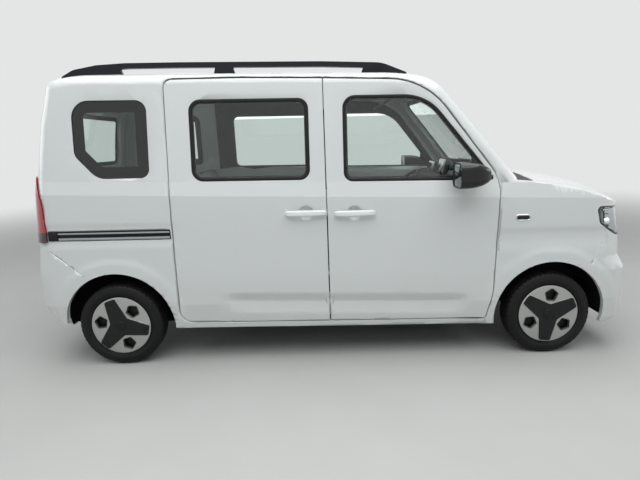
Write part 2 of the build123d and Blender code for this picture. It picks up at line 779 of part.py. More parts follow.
def leaf_springs():
    """Two leaf springs, each a shallow arc, thicker in the middle, with an eye at both ends."""
    back, front = rear_axle_x - spring_half, rear_axle_x + spring_half
    end_top = spring_seat + spring_camber
    with BuildSketch() as leaf:
        with BuildLine():
            ThreePointArc((back, end_top), (rear_axle_x, spring_seat), (front, end_top))
            Line((front, end_top), (front, end_top - 14))
            ThreePointArc((front, end_top - 14), (rear_axle_x, spring_seat - spring_stack), (back, end_top - 14))
            Line((back, end_top - 14), (back, end_top))
        make_face()
    half = spring_width / 2
    spring = from_side(leaf.sketch, -spring_y - half, -spring_y + half)
    eyes = [cross_bar(x, spring_eye_z, spring_eye_radius, (-spring_y - half, -spring_y + half)) for x in (back, front)]
    spring = largest(spring + eyes)
    return Compound([spring, mirrored(spring)])


def subframe():
    """The front cross member with its two lower arms, each out to its ball joint."""
    beam = box((front_axle_x - 70, front_axle_x + 70), (-340, 340), (205, 262))
    beam = fillet(beam.edges().filter_by(Axis.Y), 18)
    posts = [box((front_axle_x - 50, front_axle_x + 50), (y - 25, y + 25), (255, 400))
             for y in (-front_rail_y - 30, front_rail_y + 30)]
    shoulders = box((front_axle_x - 50, front_axle_x + 50), (-front_rail_y - 55, front_rail_y + 55), (230, 262))
    plan = rounded([(front_axle_x - 150, -330), (front_axle_x + 60, -330), (front_axle_x + 24, -kingpin_y + 6),
                    (front_axle_x, -kingpin_y - 22), (front_axle_x - 24, -kingpin_y + 6)], [12, 12, 12, 16, 12])
    arm = from_above(plan, ball_low - 24, ball_low - seat_gap)
    arm += box((front_axle_x - 60, front_axle_x + 40), (-345, -325), (ball_low - 24, 240))
    return largest(beam + [shoulders] + posts + [arm, mirrored(arm)])


def front_strut():
    """The right spring leg: a damper tube in its coil's envelope, forked at the foot to the upper ball joint."""
    top = tyre_radius + arch_radius + wheelhouse_clearance - seat_gap - 6
    tube = Pos(front_axle_x, -strut_y, (top + 420) / 2) * Cylinder(24, top - 420)
    coil = Pos(front_axle_x, -strut_y, (top - 10 + 590) / 2) * Cylinder(46, top - 10 - 590)
    foot = box((front_axle_x - 20, front_axle_x + 20), (-kingpin_y - 18, -strut_y + 20), (ball_high + seat_gap, 432))
    return largest(tube + [coil, foot])


def knuckle():
    """The right steering knuckle: an upright between the two ball joints, with the wheel's stub axle."""
    upright = box((front_axle_x - 26, front_axle_x + 26), (-kingpin_y - 16, -kingpin_y + 22), (ball_low, ball_high))
    upright = fillet(upright.edges().filter_by(Axis.Z), 10)
    arm = box((front_axle_x - 120, front_axle_x), (-kingpin_y + 0, -kingpin_y + 22), (250, 275))
    stub = cross_bar(front_axle_x, tyre_radius, stub_radius, (-track_half_front - 30, -kingpin_y))
    return largest(upright + [arm, stub])


def rim_and_web(bore):
    """The rim's barrel and flanges, its web and hub boss, turned about the axle."""
    half = rim_width / 2
    seat = tyre_radius - tyre_wall - seat_gap
    with BuildSketch(Plane.XZ) as section:
        with BuildLine():
            Polyline((seat, half), (seat, half - 10), (seat - 8, half - 18), (seat - 8, -half + 24),
                     (seat, -half + 12), (seat, -half), (seat - 12, -half), (seat - 12, -half + 16),
                     (seat - 20, -half + 30), (64, web_depth), (bore, web_depth), (bore, web_depth + 34),
                     (62, web_depth + 34), (62, web_depth + 8), (seat - 26, -half + 44), (seat - 16, -half + 54),
                     (seat - 16, half), close=True)
        make_face()
    return spun(section.sketch)


def star_outline():
    """The three-armed star: arms that narrow outwards, joined by hollow corners."""
    points = []
    for arm in range(3):
        angle = radians(120 * arm)
        for reach, across in ((star_reach, -star_tip), (star_reach, star_tip)):
            points.append((reach * cos(angle) - across * sin(angle), reach * sin(angle) + across * cos(angle)))
        hollow = angle + radians(60)
        points.append((star_waist * cos(hollow), star_waist * sin(hollow)))
    return rounded(points, [14, 14, 30] * 3)


def disc_cover(turn):
    """The wheel's disc: domed face, three rounded windows between the arms and the star standing proud."""
    edge = tyre_radius - tyre_wall - 3
    face = -rim_width / 2 - 2
    with BuildSketch(Plane.XZ) as section:
        with BuildLine():
            ThreePointArc((0, face - 8), (edge / 2, face - 6), (edge, face))
            Polyline((edge, face), (edge, face + 4), (0, face + 1), (0, face - 8))
        make_face()
    disc = spun(section.sketch)
    star = extrude(Plane.XZ * Rot(0, 0, turn) * star_outline(), amount=-face + 11) & cross_bar(0, 0, edge, (-200, 0))
    disc += star & box((-300, 300), (face - 11, face + 3), (-300, 300))
    for number in range(3):
        angle = radians(turn + 60 + 120 * number)
        window = rounded([(window_reach * cos(angle) + 50 * cos(angle + radians(72 * n)),
                           window_reach * sin(angle) + 50 * sin(angle + radians(72 * n))) for n in range(5)], [14] * 5)
        disc -= from_side(window, face - 20, face + 6)
        peg = radians(turn + 120 * number)
        disc += cross_bar(100 * cos(peg), 100 * sin(peg), 12, (face + 1, web_depth + 4))
    return disc


def wheel(turn, bore):
    """One right-hand wheel at the origin, its axle along Y and its disc towards -Y."""
    return largest(rim_and_web(bore) + disc_cover(turn))


def tyre():
    """One tyre at the origin, its axle along Y."""
    return spun(tyre_profile())


def dashboard():
    """The dashboard: a long pad across the cabin, deeper in front of the driver."""
    top = [(862, 1150), (880, 1232), (960, 1262), (1120, 1262), (1180, 1200), (1180, 960), (1060, 900), (900, 1000)]
    pad = from_side(rounded(top, [30, 40, 60, 30, 10, 10, 40, 60]), -742, 742)
    shelf = rounded([(930, 960), (1180, 960), (1180, 640), (1120, 640)], [30, 5, 5, 30])
    stack = from_side(shelf, -150, 150)
    pod = from_side(rounded([(880, 1040), (1100, 1040), (1100, 875), (930, 868), (850, 925)], [20, 5, 20, 30, 15]),
                    steering_centre[1] - 75, steering_centre[1] + 75)
    return largest((pad + [stack, pod]) & body_room())


def steering_wheel():
    """The steering wheel on its column, on the vehicle's left."""
    with BuildPart() as rim:
        Torus(wheel_rim_radius, 15)
        Cylinder(52, 34)
        for angle in (0, 120, 240):
            with Locations(Rot(0, 0, angle) * Pos(100, 0, -6)):
                Box(170, 34, 14)
    wheel_part = Pos(*steering_centre) * Rot(0, -steering_tilt, 0) * rim.part
    column = Pos(*steering_centre) * Rot(0, -steering_tilt, 0) * Pos(0, 0, -150) * Cylinder(34, 290)
    return largest((wheel_part + column) - dashboard())


def seat(x, y, width, back_top, headrest):
    """One seat: pedestal, cushion, leaning back and, in front, a headrest, drawn from the side."""
    half = width / 2
    pedestal = rounded([(x + 30, seat_base), (x + 420, seat_base), (x + 450, 640), (x + 10, 640)], [10, 10, 20, 20])
    cushion = rounded([(x, 600), (x + 480, 640), (x + 505, 800), (x, 750)], [40, 40, 60, 40])
    back = rounded([(x - 10, 690), (x + 110, 740), (x - 20, back_top), (x - 120, back_top - 20)],
                   [30, 50, 50, 45])
    shape = from_side(cushion, y - half, y + half) + from_side(pedestal, y - half + 50, y + half - 50)
    shape += from_side(back, y - half + 10, y + half - 10)
    if headrest:
        rest = rounded([(x - 130, back_top - 30), (x - 30, back_top - 10), (x - 45, back_top + 150),
                        (x - 135, back_top + 140)], [20, 20, 35, 35])
        shape += from_side(rest, y - 110, y + 110)
    return largest(shape)


def front_seats():
    """Driver's and passenger's seats, on low boxes that stand on the floor."""
    return Compound([seat(-10, y, 480, 1290, True) for y in (-seat_y, seat_y)])


def rear_bench():
    """The rear bench across the load space."""
    return seat(-1040, 0, 1180, 1350, False)


def pair(right):
    """A right-hand piece and its left-hand twin, as two solids of one node."""
    return Compound([right, mirrored(right)])


def placed(shape, x, side, track_half):
    """A right-hand wheel or tyre moved to its axle, or mirrored to the left."""
    right = Pos(x, -track_half, tyre_radius) * shape
    return right if side == "right" else mirrored(right)


def build():
    """Every node of the vehicle, by name."""
    parts = {
        "floor_pan": floor_pan(), "front_structure": front_structure(), "roof_panel": roof_panel(),
        "bonnet": bonnet(), "front_bumper": front_bumper(), "rear_bumper": rear_bumper(),
        "cowl_panel": cowl_panel(), "tailgate": tailgate(), "battery_pack": battery_pack(),
        "rear_axle": rear_axle(), "leaf_springs": leaf_springs(), "front_subframe": subframe(),
        "dashboard": dashboard(), "steering_wheel": steering_wheel(), "front_seats": front_seats(),
        "rear_bench": rear_bench(),
        "windscreen": pane(windscreen_outline, front_carry, body_form),
        "tailgate_glass": pane(rear_window, rear_carry, body_form),
        "sliding_door_glass": pair(pane(sliding_window, side_carry, side_form)),
        "quarter_glass": pair(pane(quarter_window, side_carry, side_form)),
        "headlamp_lenses": pair(headlamp_lens()), "headlamp_bowls": pair(headlamp_bowl()),
        "tail_lamps": pair(tail_lamp()), "door_slide_rails": pair(slide_rail()),
        "roof_rails": pair(roof_rail()), "front_struts": pair(front_strut()),
    }
    handed = {
        "front_door": front_door(), "sliding_door": sliding_door(), "body_side": body_side(),
        "front_fender": fender(), "front_knuckle": knuckle(), "door_mirror": door_mirror(),
        "front_door_glass": pane(front_glass, side_carry, side_form),
    }
    for name, right in handed.items():
        parts[f"{name}_right"] = right
        parts[f"{name}_left"] = mirrored(right)
    for axle, x, track_half, bore in (("front", front_axle_x, track_half_front, stub_radius + 0.5),
                                      ("rear", rear_axle_x, track_half_rear, stub_radius + 0.5)):
        for side in ("right", "left"):
            parts[f"{axle}_{side}_tyre"] = placed(tyre(), x, side, track_half)
            parts[f"{axle}_{side}_wheel"] = placed(wheel(star_turn[axle], bore), x, side, track_half)
    return parts


os.makedirs("parts", exist_ok=True)
for name, shape in build().items():
    export_step(shape, f"parts/{name}.step")
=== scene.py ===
import json
import math

import bmesh
import bpy
import numpy as np
from mathutils import Matrix, Vector
from mathutils.bvhtree import BVHTree


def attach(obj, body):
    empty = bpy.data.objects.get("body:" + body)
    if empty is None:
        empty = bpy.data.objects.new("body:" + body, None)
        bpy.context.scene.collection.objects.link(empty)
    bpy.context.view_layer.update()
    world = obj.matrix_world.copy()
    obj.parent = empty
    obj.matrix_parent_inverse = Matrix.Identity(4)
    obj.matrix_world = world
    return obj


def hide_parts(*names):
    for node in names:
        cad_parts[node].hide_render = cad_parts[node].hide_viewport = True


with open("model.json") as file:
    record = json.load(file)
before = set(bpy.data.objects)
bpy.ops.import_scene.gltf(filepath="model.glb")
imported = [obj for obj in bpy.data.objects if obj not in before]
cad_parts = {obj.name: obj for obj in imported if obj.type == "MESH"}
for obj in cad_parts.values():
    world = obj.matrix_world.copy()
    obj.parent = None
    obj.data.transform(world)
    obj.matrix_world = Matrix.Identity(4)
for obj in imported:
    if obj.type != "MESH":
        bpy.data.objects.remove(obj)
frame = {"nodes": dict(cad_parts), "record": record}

scene = bpy.context.scene
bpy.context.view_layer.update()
cad = frame["nodes"]

# Camera: where a person stands beside the van, 3.1 m from its right side, tilted a little down.
# The lens and the slight roll were solved from the wheel centres and the roof line.
camera_place = (-0.083, -3.9275, 1.535)
camera_tilt, camera_roll, camera_pan = 11.87, 1.633, 0.09
camera_data = bpy.data.cameras.new("camera")
camera_data.sensor_width = 36.0
camera_data.lens = 25.98
camera = bpy.data.objects.new("camera", camera_data)
camera.matrix_world = (Matrix.Translation(camera_place)
                       @ Matrix.Rotation(math.radians(camera_pan), 4, "Z")
                       @ Matrix.Rotation(math.radians(90 - camera_tilt), 4, "X")
                       @ Matrix.Rotation(math.radians(-camera_roll), 4, "Z"))
scene.collection.objects.link(camera)
scene.camera = camera
scene.view_settings.view_transform = "Standard"


# Studio: a pale floor, a wide soft light overhead, weaker ones beside the camera and at both ends, and
# a pale surround. None of it belongs to the van.
def linear(hex_colour):
    """An sRGB hex colour as linear numbers, opaque."""
    values = [int(hex_colour[i:i + 2], 16) / 255 for i in (0, 2, 4)]
    return tuple(v / 12.92 if v <= 0.04045 else ((v + 0.055) / 1.055) ** 2.4 for v in values) + (1.0,)


def add(owner, kind, settings=None, links=None):
    """Adds a node; settings fill its properties or sockets, links bring other nodes' outputs to it."""
    made = owner.node_tree.nodes.new(kind)
    for key, value in (settings or {}).items():
        if isinstance(key, int) or key in made.inputs:
            made.inputs[key].default_value = value
        else:
            setattr(made, key, value)
    for key, source in (links or {}).items():
        owner.node_tree.links.new(source, made.inputs[key])
    return made


def blank(name):
    """A node material with no nodes yet."""
    made = bpy.data.materials.new(name)
    made.use_nodes = True
    made.node_tree.nodes.clear()
    return made


def mesh_piece(name, vertices, faces, material, body=None, outward=True, sharp=35):
    """A smooth mesh object from points and faces, with the faces of a closed shell turned outwards. It
    rides on the body and fills the material slot where they are given."""
    mesh = bpy.data.meshes.new(name)
    mesh.from_pydata(np.asarray(vertices, float).tolist(), [], [list(f) for f in faces])
    if outward:
        work = bmesh.new()
        work.from_mesh(mesh)
        bmesh.ops.remove_doubles(work, verts=work.verts, dist=1e-6)
        bmesh.ops.recalc_face_normals(work, faces=work.faces)
        work.to_mesh(mesh)
        work.free()
    mesh.update()
    mesh.materials.append(material)
    mesh.shade_smooth()
    mesh.set_sharp_from_angle(angle=math.radians(sharp))
    made = bpy.data.objects.new(name, mesh)
    scene.collection.objects.link(made)
    if body:
        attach(made, body)
    return made


def for_the_eye(owner):
    """1 for what is looked at, mirrored or seen through glass, and 0 for the light that falls on things."""
    ray = add(owner, "ShaderNodeLightPath")
    through = add(owner, "ShaderNodeMath", {"operation": "MAXIMUM"},
                  {0: ray.outputs["Is Camera Ray"], 1: ray.outputs["Is Transmission Ray"]})
    return add(owner, "ShaderNodeMath", {"operation": "MAXIMUM"},
               {0: through.outputs[0], 1: ray.outputs["Is Glossy Ray"]}).outputs[0]


def floor_material():
    """Pale even concrete: one tone with a very weak mottle about half a metre wide. Far off it fades to
    the surround's tone, so that no edge shows."""
    made = blank("concrete_pale")
    where = {"Vector": add(made, "ShaderNodeTexCoord").outputs["Object"]}
    mottle = add(made, "ShaderNodeTexNoise", {"Scale": 2.0, "Detail": 4.0}, where)
    tone = add(made, "ShaderNodeMix", {"data_type": "RGBA", 6: linear("B2B3B1"), 7: linear("BABBB9")},
               {0: mottle.outputs["Fac"]})
    skin = add(made, "ShaderNodeBsdfPrincipled", {"Roughness": 0.8}, {"Base Color": tone.outputs[2]})
    away = add(made, "ShaderNodeVectorMath", {"operation": "LENGTH"}, {0: where["Vector"]})
    far = add(made, "ShaderNodeMapRange",
              {"From Min": 4.5, "From Max": 13.0, "interpolation_type": "SMOOTHSTEP"},
              {"Value": away.outputs["Value"]})
    share = add(made, "ShaderNodeMath", {"operation": "MULTIPLY"},
                {0: far.outputs["Result"], 1: for_the_eye(made)})
    backdrop = add(made, "ShaderNodeEmission", {"Color": linear("E4E6E6"), "Strength": 1.0})
    both = add(made, "ShaderNodeMixShader", links={0: share.outputs[0], 1: skin.outputs["BSDF"],
                                                   2: backdrop.outputs["Emission"]})
    add(made, "ShaderNodeOutputMaterial", links={"Surface": both.outputs[0]})
    return made


floor_half = 40.0
floor = mesh_piece("studio_floor", [(a * floor_half, b * floor_half, 0)
                                    for a, b in ((-1, -1), (1, -1), (1, 1), (-1, 1))],
                   [(0, 1, 2, 3)], floor_material(), outward=False)

for light_name, size, place, turn, watts in (
        ("overhead_light", (9.0, 9.0), (0.0, -2.6, 6.0), (0, 0, 0), 600),
        ("side_light", (9.0, 3.0), (0.5, -9.0, 3.6), (64, 0, 0), 25),
        ("rear_light", (5.0, 3.0), (-8.5, 0.0, 3.4), (66, 0, -90), 75),
        ("nose_light", (5.0, 3.0), (9.0, 0.0, 3.4), (66, 0, 90), 105),
        ("far_side_light", (9.0, 3.0), (0.5, 9.0, 3.6), (-64, 0, 0), 85)):
    lamp = bpy.data.lights.new(light_name, "AREA")
    lamp.shape = "RECTANGLE"
    lamp.size, lamp.size_y = size
    lamp.energy = watts
    lamp_object = bpy.data.objects.new(light_name, lamp)
    lamp_object.location = place
    lamp_object.rotation_euler = [math.radians(v) for v in turn]
    scene.collection.objects.link(lamp_object)

world = bpy.data.worlds.new("studio")
world.use_nodes = True
world.node_tree.nodes.clear()
lit = add(world, "ShaderNodeBackground", {"Color": linear("AEB4B8"), "Strength": 0.38})
seen = add(world, "ShaderNodeBackground", {"Color": linear("E4E6E6"), "Strength": 1.0})
both = add(world, "ShaderNodeMixShader", links={0: for_the_eye(world), 1: lit.outputs[0], 2: seen.outputs[0]})
add(world, "ShaderNodeOutputWorld", links={"Surface": both.outputs[0]})
scene.world = world


# Body shell: pressed steel panels and moulded bumpers, welded, hinged or clipped, in one white paint under
# clear lacquer. The skins stand on the real panels and take the soft pressings of the sides: the flares,
# the fender's fold, the doors' scoop and the step over the slide rail.
def white_paint():
    """Solid white under lacquer, with a trace of road dust low down and a faint orange peel 4 mm wide."""
    made = blank("paint_white_lacquered")
    where = {"Vector": add(made, "ShaderNodeTexCoord").outputs["Object"]}
    height = add(made, "ShaderNodeSeparateXYZ", links=where)
    low = add(made, "ShaderNodeMapRange", {"From Min": 0.22, "From Max": 0.62, "To Min": 0.2, "To Max": 0.0},
              {"Value": height.outputs["Z"]})
    cloud = add(made, "ShaderNodeTexNoise", {"Scale": 5.0, "Detail": 6.0}, where)
    dust = add(made, "ShaderNodeMath", {"operation": "MULTIPLY"},
               {0: low.outputs["Result"], 1: cloud.outputs["Fac"]})
    tone = add(made, "ShaderNodeMix", {"data_type": "RGBA", 6: linear("DFE4E3"), 7: linear("A9A396")},
               {0: dust.outputs[0]})
    peel = add(made, "ShaderNodeTexNoise", {"Scale": 250.0, "Detail": 1.0}, where)
    bump = add(made, "ShaderNodeBump", {"Strength": 0.01, "Distance": 0.001}, {"Height": peel.outputs["Fac"]})
    skin = add(made, "ShaderNodeBsdfPrincipled",
               {"Roughness": 0.4, "Coat Weight": 1.0, "Coat Roughness": 0.03, "Coat IOR": 1.5},
               {"Base Color": tone.outputs[2], "Normal": bump.outputs["Normal"]})
    add(made, "ShaderNodeOutputMaterial", links={"Surface": skin.outputs["BSDF"]})
    return made


paint = white_paint()
bodies, subparts = frame["record"]["behaviour"]["bodies"], frame["record"]["subparts"]
body_of_node = {name: body for body, names in bodies.items() for name in names}
both_sides = ((-1, "right"), (1, "left"))
axle_x, axle_z = 1.525, 0.297

# The side's skin by height on the line through x = 0: its level lines' slope and its distance from the
# middle plane
side_levels = np.array([0.246, 0.284, 0.430, 0.640, 0.725, 0.863, 1.179, 1.276, 1.650, 2.060])
side_slopes = np.array([-0.013, -0.013, -0.013, -0.013, -0.013, -0.020, -0.0325, -0.0295, -0.0295, -0.0295])
side_halves = np.array([0.800, 0.808, 0.832, 0.840, 0.840, 0.840, 0.839, 0.820, 0.781, 0.738])
shoulder, belt = 6, 7
side_bow, bow_half_length = 0.014, 2.0


def side_distance(x, z):
    """Distance of the side's skin from the middle plane: straight between the levels, less the bow."""
    found = np.full(x.shape, side_halves[0])
    for i in range(len(side_levels) - 1):
        low, high = side_levels[i] + side_slopes[i] * x, side_levels[i + 1] + side_slopes[i + 1] * x
        share = np.clip((z - low) / (high - low), 0, 1)
        found = np.where(z > low, side_halves[i] + share * (side_halves[i + 1] - side_halves[i]), found)
    return found - side_bow * (x / bow_half_length) ** 2


def eased(t):
    """0 below 0, 1 above 1, and a smooth rise between them."""
    t = np.clip(t, 0, 1)
    return t * t * (3 - 2 * t)


def pressing(x, z):
    """How far the side's skin stands out of its plain form, in metres: the sum of four pressings, each a
    depth times ramps from 0 to 1 along its own edges."""
    flare_height, scoop_depth, fold_depth, step_depth = 0.007, 0.027, 0.008, 0.0045
    to_front, to_rear = np.hypot(x - axle_x, z - axle_z), np.hypot(x + axle_x, z - axle_z)
    flare = eased((0.505 - np.minimum(to_front, to_rear)) / 0.055)
    scoop_line = 0.500 - 0.0294 * x
    down = scoop_line - z
    scoop = np.clip(down / 0.058, 0, 1) * (1 - np.clip((down - 0.060) / 0.090, 0, 1))
    scoop *= eased((to_front - 0.575) / 0.10) * eased((to_rear - 0.74) / 0.16)
    fold_line = 0.938 - 0.004 * (x - 1.14)
    fold = eased((fold_line - z) / 0.05) * (1 - eased((fold_line - 0.075 - z) / 0.12))
    fold *= eased((x - 1.00) / 0.20)
    step_line = 1.034 - 0.006 * (x + 1.1)
    step = eased((step_line - z) / 0.028) * eased((z - 0.86) / 0.05) * eased((-1.02 - x) / 0.08)
    return flare_height * flare - scoop_depth * scoop - fold_depth * fold - step_depth * step


def corner_shift(points):
    """How far the nose's corners stand ahead of their plain form: up to 33 mm at the bumper and 20 mm at
    the lamps, growing with the square of the distance past 140 mm from the middle plane, and nothing at
    the bonnet or the wheel arch."""
    x, y, z = points.T
    most, straight_half, corner_width = 0.033, 0.14, 0.64
    reach = most * eased((1.075 - z) / 0.24)
    outwards = np.clip((np.abs(y) - straight_half) / corner_width, 0, 1.06)
    return reach * outwards ** 2 * eased((x - 1.90) / 0.15)


def squared(work):
    """Moves the nose's corners forwards."""
    work.verts.ensure_lookup_table()
    shift = corner_shift(np.array([v.co for v in work.verts]))
    for vertex, amount in zip(work.verts, shift):
        vertex.co.x += amount


def pressed(work):
    """Cuts the outer skin of the sides into a fine grid below the belt, moves it by the pressings, and
    squares the nose."""
    grid_x, grid_z, skin_depth = 0.034, 0.0145, 0.012
    chosen = []
    for face in work.faces:
        middle = face.calc_center_median()
        if abs(face.normal.y) > 0.5 and face.normal.y * middle.y > 0:
            chosen.append(face)
    x, y, z = np.array([f.calc_center_median() for f in chosen]).T
    outer = (np.abs(y) > side_distance(x, z) - skin_depth) & (z < side_levels[belt] + side_slopes[belt] * x)
    chosen = [f for f, is_outer in zip(chosen, outer) if is_outer]
    corners = list({v for f in chosen for v in f.verts})
    geometry = chosen + list({e for f in chosen for e in f.edges}) + corners
    low_x, high_x = min(v.co.x for v in corners), max(v.co.x for v in corners)
    cuts = [((value, 0, 0), (1, 0, 0)) for value in np.arange(-2.1, 2.1, grid_x) if low_x < value < high_x]
    cuts += [((0, 0, value), (0, 0, 1)) for value in np.arange(0.26, 1.06, grid_z)]
    cuts += [((0, 0, side_levels[level] + by), (-side_slopes[level], 0, 1)) for level in (shoulder, belt)
             for by in (-0.012, -0.004, 0.004, 0.012)]
    for place, normal in cuts:
        cut = bmesh.ops.bisect_plane(work, geom=geometry, dist=1e-6, plane_co=place, plane_no=normal)
        geometry = cut["geom"]
    moved = list({v for f in geometry if isinstance(f, bmesh.types.BMFace) for v in f.verts})
    x, y, z = np.array([v.co for v in moved]).T
    for vertex, amount in zip(moved, np.sign(y) * pressing(x, z)):
        vertex.co.y += amount
    squared(work)


def dressed(name, material, shape=None):
    """A node's own mesh, welded and smoothly shaded, standing for the node at the same place."""
    weld, sharp = 2e-5, 32
    mesh = cad[name].data.copy()
    mesh.name = name + "_skin"
    work = bmesh.new()
    work.from_mesh(mesh)
    bmesh.ops.remove_doubles(work, verts=work.verts, dist=weld)
    if shape:
        shape(work)
    work.to_mesh(mesh)
    work.free()
    mesh.materials.clear()
    mesh.materials.append(material)
    mesh.shade_smooth()
    mesh.set_sharp_from_angle(angle=math.radians(sharp))
    made = bpy.data.objects.new(name + "_skin", mesh)
    scene.collection.objects.link(made)
    evened = made.modifiers.new("even_shading", "WEIGHTED_NORMAL")
    evened.keep_sharp = True
    evened.mode = "FACE_AREA_WITH_ANGLE"
    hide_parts(name)
    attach(made, body_of_node[name])
    return made


for name in ("roof_panel", "bonnet", "tailgate"):
    dressed(name, paint)
doors = [dressed(name, paint, pressed)
         for name in ("front_door_right", "front_door_left", "sliding_door_right", "sliding_door_left")]
for name in ("body_side_right", "body_side_left", "front_fender_right", "front_fender_left", "front_bumper",
             "rear_bumper"):
    dressed(name, paint, pressed)


# Door handles: painted grips, crowned so that the upper face catches light, clipped over each door's
# pull bar.
def grid_faces(rows, columns, wrap_rows=False):
    """Quads between neighbouring points of a grid, closed round its columns, and round its rows if asked."""
    r, c = np.meshgrid(np.arange(rows if wrap_rows else rows - 1), np.arange(columns), indexing="ij")
    r2, c2 = (r + 1) % rows, (c + 1) % columns
    quads = [r * columns + c, r * columns + c2, r2 * columns + c2, r2 * columns + c]
    return np.stack(quads, 2).reshape(-1, 4)


def loft(name, rows, material, body=None, ring=False, sharp=35):
    """A closed shell through rows of points: a ring joins its last row to its first, and any other shape
    has its first and last rows filled."""
    grid = np.asarray(rows, float)
    count, columns = grid.shape[:2]
    faces = list(grid_faces(count, columns, ring))
    if not ring:
        faces += [range(columns), range((count - 1) * columns, count * columns)]
    return mesh_piece(name, grid.reshape(-1, 3), faces, material, body, sharp=sharp)


def mm(*points):
    """Points given in millimetres, as an array in metres."""
    return np.array(points) / 1000


grip_section = mm((-19.5, 861), (-18.5, 869), (-14, 873.5), (0, 872.5), (11, 868), (17, 862), (19.5, 856),
                  (15, 853), (-15, 853))
bar_middle = 0.860
along = np.linspace(-1, 1, 41)
swell = np.sqrt(np.maximum(1 - np.abs(along) ** 9, 0.02))[:, None]
for side, hand in both_sides:
    for kind, body, middle, half, level in (("front", hand + "_front_door", 0.1505, 0.1395, 1.066),
                                            ("sliding", "body", -0.177, 0.1405, 1.075)):
        z = level + swell * grip_section[None, :, 0]
        y = side * (bar_middle + (0.3 + 0.7 * swell) * (grip_section[None, :, 1] - bar_middle))
        x = np.broadcast_to(middle + half * along[:, None], z.shape)
        loft(f"{kind}_door_grip_{hand}", np.stack([x, y, z], 2), paint, body)


# Underbody: floor, bulkhead, axles and battery case, in satin paints that are rough with stone-chip
# coating. The rear wheelhouses wear black plastic liners, as the front ones do.
def satin(name, colour, roughness, metallic=0.0, grain=900.0, depth=0.15, gloss=0.3):
    """A satin coat: slightly uneven roughness, and a fine grain in the bump; gloss is its specular level."""
    spread = 0.06
    made = blank(name)
    where = {"Vector": add(made, "ShaderNodeTexCoord").outputs["Object"]}
    fine = add(made, "ShaderNodeTexNoise", {"Scale": grain, "Detail": 2.0}, where)
    wide = add(made, "ShaderNodeTexNoise", {"Scale": 9.0, "Detail": 3.0}, where)
    rough = add(made, "ShaderNodeMapRange", {"To Min": roughness - spread, "To Max": roughness + spread},
                {"Value": wide.outputs["Fac"]})
    bump = add(made, "ShaderNodeBump", {"Strength": depth, "Distance": 0.0006},
               {"Height": fine.outputs["Fac"]})
    skin = add(made, "ShaderNodeBsdfPrincipled",
               {"Base Color": linear(colour), "Metallic": metallic, "Specular IOR Level": gloss},
               {"Roughness": rough.outputs["Result"], "Normal": bump.outputs["Normal"]})
    add(made, "ShaderNodeOutputMaterial", links={"Surface": skin.outputs["BSDF"]})
    return made


def vectors(items, key):
    """One vector property of all the items of a mesh, as rows of an array."""
    values = np.zeros(len(items) * 3)
    items.foreach_get(key, values)
    return values.reshape(-1, 3)


primer = satin("paint_primer_white", "C4C8C9", 0.45)
chassis_black = satin("paint_chassis_black", "101112", 0.6, depth=0.3, gloss=0.15)
cast_iron = satin("iron_cast", "4A4845", 0.6, metallic=0.7, grain=400.0, depth=0.5)
liner_black = satin("plastic_liner_black", "0A0B0B", 0.8, grain=600.0, depth=0.3, gloss=0.1)
house_inner_y, house_radius = 0.575, 0.412
floor_skin = dressed("floor_pan", primer)
floor_skin.data.materials.append(liner_black)
x, y, z = vectors(floor_skin.data.polygons, "center").T
across, beside, above = vectors(floor_skin.data.polygons, "normal").T
to_axle = across * (x + axle_x) + above * (z - axle_z) < 0.05
in_house = (np.abs(y) > house_inner_y) & (np.hypot(x + axle_x, z - axle_z) < house_radius)
in_house &= to_axle & (beside * np.sign(y) > -0.3)
floor_skin.data.polygons.foreach_set("material_index", in_house.astype(np.int32))
for name in ("front_structure", "battery_pack", "rear_axle", "leaf_springs", "front_subframe",
             "front_struts"):
    dressed(name, chassis_black)
for side, hand in both_sides:
    dressed("front_knuckle_" + hand, cast_iron)


# Panes: tempered glass with a light green tint, bonded or held in rubber in their recesses.
def clear_glass(name, tint, ior):
    """Clear glass, see-through at its real thickness, with the tint of its edge."""
    made = blank(name)
    skin = add(made, "ShaderNodeBsdfPrincipled",
               {"Base Color": linear(tint), "Roughness": 0.0, "IOR": ior, "Transmission Weight": 1.0})
    add(made, "ShaderNodeOutputMaterial", links={"Surface": skin.outputs["BSDF"]})
    return made


pane_glass = clear_glass("glass_tempered_green", "E6EDEA", 1.4)
for name in ("windscreen", "tailgate_glass", "sliding_door_glass", "quarter_glass", "front_door_glass_right",
             "front_door_glass_left"):
    dressed(name, pane_glass)


